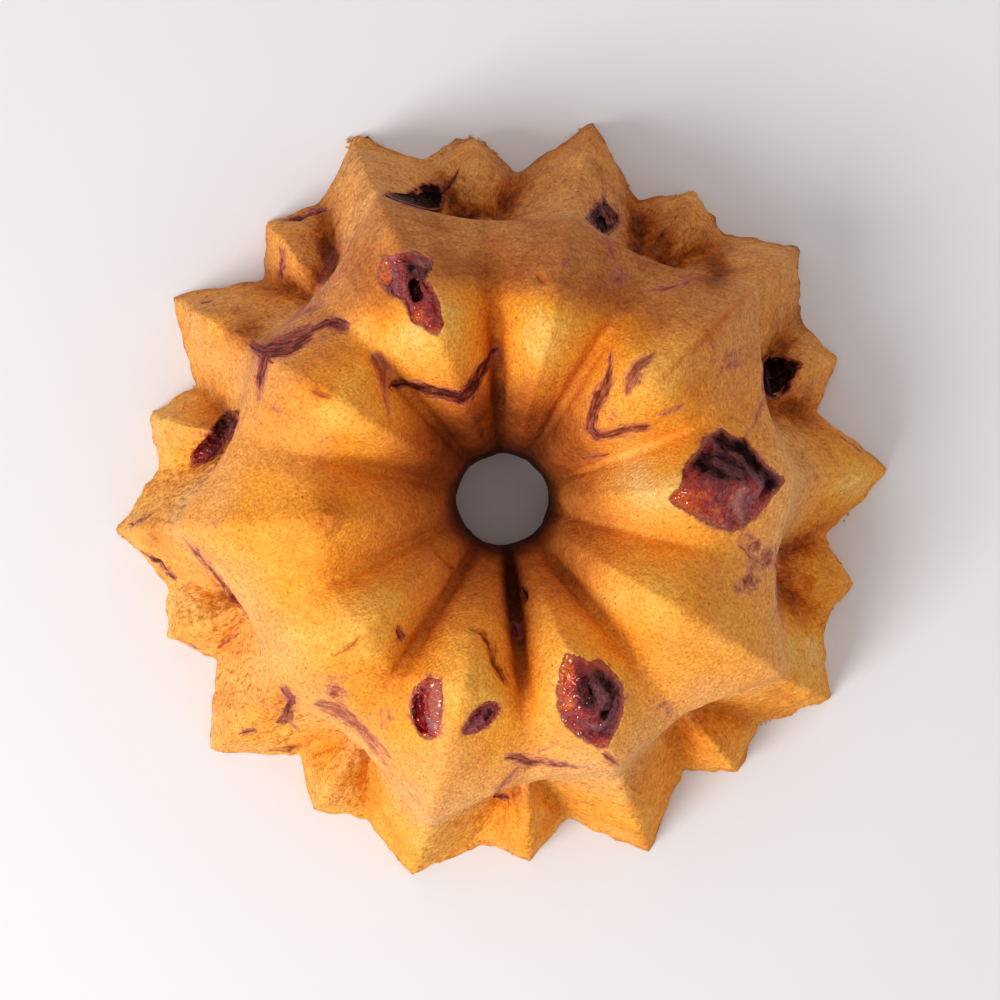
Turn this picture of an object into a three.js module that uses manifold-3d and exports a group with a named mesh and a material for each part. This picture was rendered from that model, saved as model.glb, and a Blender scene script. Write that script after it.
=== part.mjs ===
// A star-shaped ring cake: five big and five small lobes in two tiers on a flat base,
// a hole down through the middle, and pockets of cooked fruit showing in the crumb.
// Millimetres, +Z up, the origin in the middle of the base.

import * as THREE from "three";
import { mergeVertices } from "three/addons/utils/BufferGeometryUtils.js";
import Module from "manifold-3d";

const wasm = await Module();
wasm.setup();

// One big lobe and one small lobe make a pair, and the pair comes round five times.
const PAIRS = 5;
const PAIR_TURN = 360 / PAIRS;
const FIRST_BIG_LOBE = 40.5; // degrees from +X to the ridge of the first big lobe
const INTERVALS = 8; // key lines in one pair: ridge, crease, groove, crease, ridge and back

// Overall sizes of the cake
const TIP_RADIUS = 120.5;
const HEIGHT = 85;
const HOLE_RADIUS = 14;

// Shape of a ridge seen from the side
const FUNNEL_ROUNDNESS = 1.7; // exponent of the curve from the hole up to the crest
const SLOPE_ROUNDNESS = 1.45; // exponent of the curve from the crest down to the brow

// How fine the faces are, and how much the ridges and edges are blunted
const STEPS = { funnel: 7, slope: 6, foot: 2, middle: 2, shoulder: 3, base: 3, under: 3 };
const COLUMN_SHARES = [0, 0.22, 0.78];
const BLUNT_UPPER_RIDGES = 0.35;
const BLUNT_LOWER_RIDGES = 0.12;
const BLUNT_EDGES = 0.22;

// Each key line runs from the hole over the crest to the brow of the upper tier, then down
// the lower tier to the base. Every place is turn from the big ridge, radius, height.
const bigRidge = {
  hole: [0, HOLE_RADIUS, 0],
  crest: [0, 53, HEIGHT],
  brow: [0, 96, 54],
  foot: [0, 98.5, 47],
  middle: [0, 106, 34],
  shoulder: [0, 113.5, 21],
  base: [0, TIP_RADIUS, 0],
};
const groove = {
  hole: [19, HOLE_RADIUS + 0.6, 0],
  crest: [19, 57, 67.5],
  brow: [19, 81.5, 50],
  foot: [18, 83.5, 36],
  middle: [17.8, 99, 30],
  shoulder: [17.8, 109, 16],
  base: [17.8, 112.8, 0],
};
const smallRidge = {
  hole: [36, HOLE_RADIUS, 0],
  crest: [36, 52, HEIGHT - 1],
  brow: [36, 84, 58.5],
  foot: [36, 88, 48],
  middle: [36, 99, 35.5],
  shoulder: [36, 110, 23],
  base: [36, TIP_RADIUS, 0],
};
const bigCrease = {
  beside: [bigRidge, groove],
  foot: [15, 84.5, 27],
  middle: [13, 92, 16],
  shoulder: [10.2, 101.5, 8],
  base: [9.5, 108, 0],
};
const smallCrease = {
  beside: [groove, smallRidge],
  foot: [20.5, 84, 27],
  middle: [22, 90, 15],
  shoulder: [24.4, 96.5, 7.5],
  base: [25, 101.8, 0],
};

// No two lobes rose quite alike: the radius swells and shrinks a little on the way round.
const SWELL_TWICE = 0.003; // share of the radius, twice round
const SWELL_THRICE = 0.0025; // share of the radius, three times round

// Fruit pockets: where each lies (degrees from +X, radius), how long and wide it is, which
// way its length points, and how deep it goes into the crumb.
const POCKET_GAP = 0.3;
const FRUIT_BELOW_CRUMB = 0.5;
const POCKETS = [
  { name: "fruit_upper_left", turn: 113.8, radius: 66, length: 28, width: 23, along: 120, depth: 10 },
  { name: "fruit_right", turn: 6.2, radius: 65.5, length: 35, width: 35, along: 5, depth: 15 },
  { name: "fruit_lower_right", turn: 293.1, radius: 59.5, length: 29, width: 23, along: 290, depth: 11 },
  { name: "fruit_lower_left", turn: 248.9, radius: 61.6, length: 20, width: 10, along: 286, depth: 5 },
  { name: "fruit_lower_middle", turn: 262.8, radius: 60.1, length: 13, width: 10, along: 32, depth: 4 },
  { name: "fruit_right_tip", turn: 24.4, radius: 90.9, length: 14, width: 13, along: 20, depth: 5 },
  { name: "fruit_top_tip", turn: 70.6, radius: 90.4, length: 14, width: 11, along: 34, depth: 4.5 },
  { name: "fruit_left_tip", turn: 167.4, radius: 88, length: 16, width: 9, along: 40, depth: 4 },
  { name: "fruit_top_left_tip", turn: 104.6, radius: 93.9, length: 18, width: 9, along: 158, depth: 4 },
];
const PEBBLE_DETAIL = 3;

const radians = THREE.MathUtils.degToRad;

// A place of a key line as a point, for a line that starts at a ridge and turns one way.
function spot([turn, radius, height], ridgeTurn, side) {
  const angle = radians(ridgeTurn + side * turn);
  const twice = SWELL_TWICE * Math.sin(2 * angle - 0.4);
  const thrice = SWELL_THRICE * Math.sin(3 * angle + 0.9);
  const swollen = radius * (1 + twice + thrice);
  return new THREE.Vector3(swollen * Math.cos(angle), swollen * Math.sin(angle), height);
}

// Points in equal steps after one point and up to the next.
function straight(from, to, steps) {
  const points = [];
  for (let i = 1; i <= steps; i++) {
    points.push(from.clone().lerp(to, i / steps));
  }
  return points;
}

// The part of a key line on the upper tier: up the funnel, over the crest, down to the brow.
function upperTier(line, ridgeTurn, side) {
  if (line.beside) {
    const [first, second] = line.beside.map((each) => upperTier(each, ridgeTurn, side));
    return first.map((point, i) => point.lerp(second[i], 0.5));
  }
  const [turn, holeRadius] = line.hole;
  const [, crestRadius, crestHeight] = line.crest;
  const [, browRadius, browHeight] = line.brow;
  const points = [];
  for (let i = 0; i <= STEPS.funnel; i++) {
    const angle = ((Math.PI / 2) * i) / STEPS.funnel;
    const inward = Math.cos(angle) ** (2 / FUNNEL_ROUNDNESS);
    const height = crestHeight * Math.sin(angle) ** (2 / FUNNEL_ROUNDNESS);
    const radius = crestRadius - (crestRadius - holeRadius) * inward;
    points.push(spot([turn, radius, height], ridgeTurn, side));
  }
  for (let i = 1; i <= STEPS.slope; i++) {
    const share = i / STEPS.slope;
    const radius = crestRadius + (browRadius - crestRadius) * share;
    const height = crestHeight - (crestHeight - browHeight) * share ** SLOPE_ROUNDNESS;
    points.push(spot([turn, radius, height], ridgeTurn, side));
  }
  return points;
}

// One whole key line as a closed loop of points, back under the base to the hole.
function keyLoop(line, ridgeTurn, side) {
  const loop = upperTier(line, ridgeTurn, side);
  const holeEdge = loop[0];
  for (const place of ["foot", "middle", "shoulder", "base"]) {
    const from = loop[loop.length - 1];
    loop.push(...straight(from, spot(line[place], ridgeTurn, side), STEPS[place]));
  }
  const under = straight(loop[loop.length - 1], holeEdge, STEPS.under);
  under.pop();
  return [...loop, ...under];
}

// The key loop at one of the eight intervals of a pair of lobes. The second half of the
// pair is the first half mirrored about the small ridge.
function keyLoopAt(pair, interval) {
  const lines = [bigRidge, bigCrease, groove, smallCrease, smallRidge];
  const ridgeTurn = FIRST_BIG_LOBE + PAIR_TURN * pair;
  if (interval <= INTERVALS / 2) {
    return keyLoop(lines[interval], ridgeTurn, 1);
  }
  return keyLoop(lines[INTERVALS - interval], ridgeTurn + PAIR_TURN, -1);
}

// All the columns of the cake, each a closed loop, in order round the axis.
function cakeColumns() {
  const columns = [];
  for (let pair = 0; pair < PAIRS; pair++) {
    for (let interval = 0; interval < INTERVALS; interval++) {
      const from = keyLoopAt(pair, interval);
      const to = keyLoopAt(pair, interval + 1);
      for (const share of COLUMN_SHARES) {
        columns.push(from.map((point, i) => point.clone().lerp(to[i], share)));
      }
    }
  }
  return columns;
}

// Moves a point part of the way to the middle of two others.
function blunted(point, before, after, share) {
  const middle = before.clone().lerp(after, 0.5);
  return point.clone().lerp(middle, share);
}

// Blunts the ridges and grooves, which are the first column of every interval. The upper
// tier is rounder than the lower one.
function bluntRidges(columns) {
  const count = columns.length;
  const brow = STEPS.funnel + STEPS.slope;
  return columns.map((column, c) => {
    if (c % COLUMN_SHARES.length !== 0) {
      return column;
    }
    const before = columns[(c + count - 1) % count];
    const after = columns[(c + 1) % count];
    return column.map((point, i) => {
      const share = i <= brow ? BLUNT_UPPER_RIDGES : BLUNT_LOWER_RIDGES;
      return blunted(point, before[i], after[i], share);
    });
  });
}

// Blunts the rings where the slope changes at once: the brow, its foot and the shoulder.
function bluntEdges(columns) {
  const brow = STEPS.funnel + STEPS.slope;
  const foot = brow + STEPS.foot;
  const shoulder = foot + STEPS.middle + STEPS.shoulder;
  return columns.map((column) => {
    return column.map((point, i) => {
      if (![brow, foot, shoulder].includes(i)) {
        return point;
      }
      return blunted(point, column[i - 1], column[i + 1], BLUNT_EDGES);
    });
  });
}

// A closed surface over the columns, which join up both round the axis and along each loop.
function closedSurface(columns) {
  const rings = columns[0].length;
  const positions = columns.flat().flatMap((point) => point.toArray());
  const indices = [];
  for (let c = 0; c < columns.length; c++) {
    const next = (c + 1) % columns.length;
    for (let i = 0; i < rings; i++) {
      const up = (i + 1) % rings;
      const a = c * rings + i;
      const b = next * rings + i;
      const d = next * rings + up;
      const e = c * rings + up;
      indices.push(a, e, d, a, d, b);
    }
  }
  const geometry = new THREE.BufferGeometry();
  geometry.setAttribute("position", new THREE.Float32BufferAttribute(positions, 3));
  geometry.setIndex(indices);
  return geometry;
}

function toSolid(geometry) {
  const plain = new THREE.BufferGeometry();
  plain.setAttribute("position", geometry.getAttribute("position"));
  plain.setIndex(geometry.getIndex());
  const merged = mergeVertices(plain, 1e-4);
  return new wasm.Manifold(
    new wasm.Mesh({
      numProp: 3,
      vertProperties: Float32Array.from(merged.getAttribute("position").array),
      triVerts: Uint32Array.from(merged.getIndex().array),
    }),
  );
}

function toGeometry(solid) {
  const mesh = solid.getMesh();
  const geometry = new THREE.BufferGeometry();
  geometry.setAttribute("position", new THREE.Float32BufferAttribute(mesh.vertProperties, 3));
  geometry.setIndex(Array.from(mesh.triVerts));
  geometry.computeVertexNormals();
  return geometry;
}

// A lumpy pebble of the pocket's size, as soft fruit is after baking.
function pebble(pocket, extra) {
  const geometry = new THREE.IcosahedronGeometry(1, PEBBLE_DETAIL);
  const position = geometry.getAttribute("position");
  const lumps = pocket.turn;
  const point = new THREE.Vector3();
  for (let i = 0; i < position.count; i++) {
    point.fromBufferAttribute(position, i);
    const wave = Math.sin(3 * point.x + lumps) + Math.cos(4 * point.y + 2 * lumps);
    point.multiplyScalar(1 + 0.04 * wave);
    position.setXYZ(i, point.x, point.y, point.z);
  }
  geometry.scale(pocket.length / 2 + extra, pocket.width / 2 + extra, pocket.depth + extra);
  return geometry;
}

// The surface of the cake straight under a point, with the way it faces.
function surfaceUnder(surface, x, y) {
  const from = new THREE.Vector3(x, y, HEIGHT * 2);
  const ray = new THREE.Raycaster(from, new THREE.Vector3(0, 0, -1));
  const hit = ray.intersectObject(surface)[0];
  return { point: hit.point, facing: hit.face.normal };
}

// Sets a pebble into the surface, lying flat to the crumb round its middle.
function settled(geometry, pocket, surface) {
  const angle = radians(pocket.turn);
  const x = pocket.radius * Math.cos(angle);
  const y = pocket.radius * Math.sin(angle);
  const facing = new THREE.Vector3();
  const looks = 8;
  for (let i = 0; i < looks; i++) {
    const way = (2 * Math.PI * i) / looks;
    const reach = pocket.width / 3;
    const look = surfaceUnder(surface, x + reach * Math.cos(way), y + reach * Math.sin(way));
    facing.add(look.facing);
  }
  facing.normalize();
  const lean = new THREE.Quaternion().setFromUnitVectors(new THREE.Vector3(0, 0, 1), facing);
  const middle = surfaceUnder(surface, x, y).point;
  geometry.rotateZ(radians(pocket.along));
  geometry.applyQuaternion(lean);
  geometry.translate(middle.x, middle.y, middle.z);
  return geometry;
}

function namedMesh(name, solid, colour, roughness) {
  const material = new THREE.MeshStandardMaterial({ color: colour, roughness, metalness: 0 });
  const mesh = new THREE.Mesh(toGeometry(solid), material);
  mesh.name = name;
  return mesh;
}

const starCake = new THREE.Group();
starCake.name = "star_ring_cake";

const wholeSurface = closedSurface(bluntEdges(bluntRidges(cakeColumns())));
const surface = new THREE.Mesh(wholeSurface, new THREE.MeshStandardMaterial());
const wholeCake = toSolid(wholeSurface);
const loweredCake = wholeCake.translate([0, 0, -FRUIT_BELOW_CRUMB]);

let cake = wholeCake;
const fruits = [];
for (const pocket of POCKETS) {
  const pit = toSolid(settled(pebble(pocket, POCKET_GAP), pocket, surface));
  const filling = toSolid(settled(pebble(pocket, 0), pocket, surface));
  cake = cake.subtract(pit);
  fruits.push(namedMesh(pocket.name, filling.intersect(loweredCake), 0x6e2023, 0.3));
}

starCake.add(namedMesh("cake", cake, 0xe3a04a, 0.85));
starCake.add(...fruits);

export default starCake;
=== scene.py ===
import math

import bpy
import numpy as np
from bpy.props import FloatProperty, FloatVectorProperty, PointerProperty
from mathutils import Matrix, Vector


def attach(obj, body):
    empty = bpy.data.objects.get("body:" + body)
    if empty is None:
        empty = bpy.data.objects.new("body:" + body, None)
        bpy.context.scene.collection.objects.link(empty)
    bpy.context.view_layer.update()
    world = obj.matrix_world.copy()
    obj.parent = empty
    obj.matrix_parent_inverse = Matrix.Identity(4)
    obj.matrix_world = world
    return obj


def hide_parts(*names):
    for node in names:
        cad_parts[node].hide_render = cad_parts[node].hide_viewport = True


# Dresses the star-shaped ring cake: golden sponge with its browning, painted light and painted shade, and
# its marbling of berry juice, pockets of cooked fruit, crumbs at the torn base edge, and a pale floor in
# daylight.
bl_info = {
    "name": "Star Ring Cake",
    "version": (4, 0, 0),
    "blender": (4, 5, 0),
    "location": "View3D > Sidebar > Cake",
    "description": "Builds a star-shaped ring cake with fruit pockets on its CAD frame",
    "category": "Add Mesh",
}

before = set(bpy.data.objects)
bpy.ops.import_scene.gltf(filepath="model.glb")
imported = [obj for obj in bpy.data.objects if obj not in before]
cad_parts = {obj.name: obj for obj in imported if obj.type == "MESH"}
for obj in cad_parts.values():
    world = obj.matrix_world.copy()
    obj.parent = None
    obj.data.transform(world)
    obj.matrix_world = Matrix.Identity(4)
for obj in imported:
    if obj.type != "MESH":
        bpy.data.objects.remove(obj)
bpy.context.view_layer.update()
MM = 0.001

# The form of the cake: lengths in millimetres, turns in degrees, and the two slow swells round it as
# shares of the radius with their phases in radians. A roundness or fullness of 1 is straight, and
# more is rounder. STEPS are the rings in each part of the profile, from the hole over the crest
# down to the base and back under it. A lobe has two facets, each from its ridge to a groove.
PAIRS = 5
PAIR_TURN = 360.0 / PAIRS
FIRST_BIG_LOBE = 40.5
FUNNEL_ROUNDNESS = 1.7
SLOPE_ROUNDNESS = 1.45
SWELL_TWICE = 0.003
SWELL_TWICE_PHASE = -0.4
SWELL_THRICE = 0.0025
SWELL_THRICE_PHASE = 0.9
FUNNEL_FULLNESS = 1.22
SLOPE_FULLNESS = 1.06
KNOB_FULLNESS = 1.8
HOLE_RADIUS = 14.2
HOLE_UNEVEN = 0.35
HOLE_RINGS = 10
SOFTENING_PASSES = 6
STEPS = {"funnel": 56, "slope": 52, "foot": 14, "middle": 20, "shoulder": 22, "base": 26, "under": 8}
COLUMNS_PER_INTERVAL = 12
COLUMNS_PER_FACET = 2 * COLUMNS_PER_INTERVAL
COLUMNS_PER_LOBE = 2 * COLUMNS_PER_FACET

# Key lines as (turn from the big ridge, radius, height) at each station down the profile.
BIG_RIDGE = {
    "hole": (0, 14, 0), "crest": (0, 53, 85), "brow": (0, 96, 54), "foot": (0, 98.5, 47),
    "middle": (0, 106, 34), "shoulder": (0, 113.5, 21), "base": (0, 120.5, 0),
}
GROOVE = {
    "hole": (19, 14.6, 0), "crest": (19, 57, 67.5), "brow": (19, 81.5, 50), "foot": (18, 83.5, 36),
    "middle": (17.8, 99, 30), "shoulder": (17.8, 109, 16), "base": (17.8, 112.8, 0),
}
SMALL_RIDGE = {
    "hole": (36, 14, 0), "crest": (36, 52, 84), "brow": (36, 84, 58.5), "foot": (36, 88, 48),
    "middle": (36, 99, 35.5), "shoulder": (36, 110, 23), "base": (36, 120.5, 0),
}
BIG_CREASE = {
    "foot": (15, 84.5, 27), "middle": (13, 92, 16), "shoulder": (10.2, 101.5, 8), "base": (9.5, 108, 0),
}
SMALL_CREASE = {
    "foot": (20.5, 84, 27), "middle": (22, 90, 15), "shoulder": (24.4, 96.5, 7.5), "base": (25, 101.8, 0),
}

# The overhead camera, in millimetres. Places and routes that were judged on the picture are written in its
# pixels, 1000 across, and PIXEL is the size of one on the floor. A route's points are (x, y, half width in
# millimetres).
CAMERA_AT = (-12.0, 16.0, 800.0)
CAMERA_AIM = (-0.78, -0.31, 0.0)
CAMERA_LENS = 92.4
SENSOR = 36.0
PIXEL = 0.3117
PICTURE_ORIGIN = (502.5, 499.0)

# Fruit pockets: middle and corners of the outline in picture pixels, how far the fruit lies below
# the crumb and how wide its stain is, in millimetres, and how dark it is from 0 to 1. "touches"
# vary it: holes with their depth in millimetres, and dark flesh, clear jelly, folds of skin and
# thin films of crumb with their strength, each along a route.
POCKETS = {
    "fruit_upper_left": dict(
        middle=(412, 292), sunk=0.8, stain=0.8, tone=0.36,
        outline=((378, 268), (384, 258), (394, 258), (404, 252), (420, 253), (433, 260), (431, 270),
                 (424, 277), (430, 286), (437, 296), (440, 312), (444, 325), (439, 335), (430, 333),
                 (423, 326), (412, 324), (409, 312), (405, 301), (398, 299), (388, 292), (380, 284)),
        touches=(("jelly", 0.4, ((384, 266, 1.4), (384, 278, 1.4))),
                 ("skin", 0.9, ((392, 262, 0.8), (395, 276, 1.1), (397, 292, 0.9))),
                 ("skin", 0.7, ((381, 283, 0.5), (390, 291, 0.5))),
                 ("dark", 0.25, ((404, 258, 1.2), (410, 268, 1.0))),
                 ("skin", 0.8, ((414, 259, 0.9), (429, 266, 1.3))),
                 ("dark", 0.35, ((413, 268, 0.7), (428, 273, 0.7))),
                 ("hole", 2.4, ((415, 284, 1.2), (417, 295, 1.4))),
                 ("dark", 0.34, ((414, 284, 1.2), (417, 296, 1.4))),
                 ("skin", 0.9, ((404, 276, 0.5), (404, 291, 0.6), (409, 303, 0.5), (413, 311, 0.4))),
                 ("jelly", 0.1, ((420, 316, 1.6), (435, 327, 2.0)))),
    ),
    "fruit_right": dict(
        middle=(728, 482), sunk=1.0, stain=0.9, tone=0.42,
        outline=((722, 429), (731, 437), (745, 438), (757, 455), (767, 466), (778, 474), (787, 480),
                 (783, 487), (773, 495), (766, 506), (757, 517), (748, 526), (734, 531), (718, 527),
                 (704, 520), (690, 512), (673, 503), (668, 497), (679, 489), (683, 482), (682, 472),
                 (689, 460), (698, 452), (704, 440), (714, 432)),
        touches=(("dark", 0.34, ((724, 438, 2.4), (744, 450, 2.6), (760, 470, 2.4), (772, 482, 2.0))),
                 ("hole", 0.8, ((742, 446, 2.0), (750, 456, 2.3), (757, 468, 1.5))),
                 ("dark", 0.3, ((703, 462, 2.6), (722, 466, 3.6), (738, 472, 2.6))),
                 ("hole", 0.7, ((701, 463, 1.0), (704, 469, 1.0))),
                 ("skin", 0.6, ((712, 440, 0.7), (722, 452, 0.7))),
                 ("skin", 0.65, ((716, 460, 1.2), (730, 470, 1.6), (742, 474, 1.2))),
                 ("hole", 0.9, ((770, 484, 1.2), (766, 498, 1.5))),
                 ("film", 0.85, ((744, 489, 1.2), (736, 503, 1.8), (742, 521, 1.4))),
                 ("skin", 1.0, ((730, 452, 0.6), (742, 458, 0.8), (750, 469, 0.9), (757, 478, 1.1),
                                (764, 487, 0.8))),
                 ("skin", 1.0, ((763, 488, 0.8), (756, 495, 1.0), (748, 499, 0.8))),
                 ("skin", 0.6, ((741, 503, 1.4), (748, 514, 1.6))),
                 ("jelly", 0.24, ((682, 498, 3.0), (700, 508, 4.0), (715, 518, 3.0))),
                 ("jelly", 0.1, ((695, 486, 3.0), (715, 490, 2.4)))),
    ),
    "fruit_lower_right": dict(
        middle=(590, 700), sunk=0.7, stain=0.7, tone=0.42,
        outline=((568, 652), (577, 656), (590, 663), (600, 660), (608, 667), (616, 676), (622, 686),
                 (624, 700), (622, 714), (619, 727), (613, 738), (609, 746), (600, 750), (590, 744),
                 (580, 737), (569, 730), (562, 720), (558, 706), (557, 690), (560, 672), (563, 660)),
        touches=(("jelly", 0.26, ((567, 662, 2.4), (566, 685, 2.4), (566, 704, 2.2))),
                 ("dark", 0.2, ((584, 684, 2.4), (588, 700, 2.6))),
                 ("film", 0.65, ((596, 664, 1.0), (606, 672, 0.8))),
                 ("skin", 0.85, ((594, 682, 1.5), (602, 696, 2.1), (606, 706, 1.7))),
                 ("dark", 0.35, ((602, 680, 1.8), (616, 694, 1.6), (608, 716, 1.6))),
                 ("skin", 0.7, ((590, 674, 0.9), (600, 676, 0.9))),
                 ("hole", 0.6, ((590, 688, 0.8), (593, 692, 0.8))),
                 ("hole", 0.6, ((604, 716, 1.0), (610, 706, 1.0))),
                 ("skin", 1.0, ((577, 720, 0.4), (588, 726, 0.7), (600, 729, 0.8), (609, 720, 0.8),
                                (615, 707, 0.7), (618, 695, 0.5))),
                 ("dark", 0.12, ((590, 736, 1.8), (604, 736, 1.8))),
                 ("jelly", 0.2, ((598, 744, 1.2), (606, 744, 1.2)))),
    ),
    "fruit_lower_left": dict(
        middle=(427, 708), sunk=0.5, stain=1.5, tone=0.3,
        outline=((430, 678), (440, 681), (441, 697), (441, 716), (439, 733), (430, 740), (420, 736),
                 (414, 726), (411, 713), (411, 700), (414, 690), (421, 682)),
        touches=(("film", 0.85, ((434, 683, 1.5), (435, 706, 1.7), (437, 730, 1.5))),
                 ("film", 0.5, ((424, 684, 1.0), (416, 692, 0.8))),
                 ("hole", 1.9, ((419, 700, 1.1), (418, 712, 1.5), (423, 729, 1.2))),
                 ("skin", 1.0, ((424, 713, 0.6), (428, 722, 1.0), (432, 732, 0.7))),
                 ("hole", 0.8, ((418, 688, 0.7), (422, 690, 0.7)))),
    ),
    "fruit_lower_middle": dict(
        middle=(481, 718), sunk=0.4, stain=1.1, tone=0.48,
        outline=((462, 734), (465, 725), (472, 714), (481, 707), (491, 702), (498, 703), (500, 709),
                 (496, 717), (489, 726), (479, 732), (469, 735)),
        touches=(("skin", 0.8, ((470, 729, 0.8), (482, 719, 1.2), (490, 709, 1.1))),
                 ("hole", 1.6, ((486, 717, 0.7), (489, 712, 0.8))),
                 ("jelly", 0.15, ((463, 731, 0.5), (469, 720, 0.5)))),
    ),
    "fruit_right_tip": dict(
        middle=(778, 376), sunk=1.2, stain=0.9, tone=0.84,
        outline=((763, 362), (769, 357), (781, 356), (791, 360), (799, 362), (803, 367), (797, 373),
                 (793, 382), (788, 391), (780, 397), (772, 399), (765, 395), (762, 385), (762, 371)),
        touches=(("hole", 2.2, ((776, 366, 2.2), (782, 376, 2.6), (778, 388, 2.0))),
                 ("skin", 0.6, ((768, 366, 0.5), (768, 380, 0.5), (772, 392, 0.5))),
                 ("film", 0.8, ((799, 366, 0.6), (801, 369, 0.6)))),
    ),
    "fruit_top_tip": dict(
        middle=(604, 218), sunk=0.6, stain=1.4, tone=0.66,
        outline=((604, 200), (612, 208), (619, 217), (620, 222), (612, 230), (603, 237), (597, 230),
                 (590, 222), (588, 217), (595, 208)),
        touches=(("hole", 1.4, ((600, 222, 1.4), (602, 227, 1.2))),
                 ("skin", 0.6, ((606, 208, 0.8), (614, 216, 0.8)))),
    ),
    "fruit_left_tip": dict(
        middle=(216, 437), sunk=0.8, stain=1.1, tone=0.58,
        outline=((194, 463), (192, 455), (197, 447), (205, 440), (212, 430), (218, 420), (226, 412),
                 (235, 414), (239, 421), (234, 432), (226, 443), (216, 455), (205, 463)),
        touches=(("hole", 1.2, ((213, 440, 1.4), (222, 426, 1.6))),
                 ("hole", 0.8, ((202, 448, 0.8), (206, 446, 0.8))),
                 ("jelly", 0.12, ((197, 457, 1.4), (205, 456, 1.4))),
                 ("skin", 0.6, ((229, 418, 0.8), (231, 428, 0.6)))),
    ),
    "fruit_top_left_tip": dict(
        middle=(420, 199), sunk=1.0, stain=1.1, tone=0.84,
        outline=((384, 192), (394, 193), (405, 196), (414, 191), (426, 184), (440, 186), (444, 195),
                 (441, 208), (432, 210), (418, 207), (405, 203), (393, 198)),
        touches=(("hole", 1.8, ((420, 197, 1.8), (432, 201, 2.2))),),
    ),
}

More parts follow.
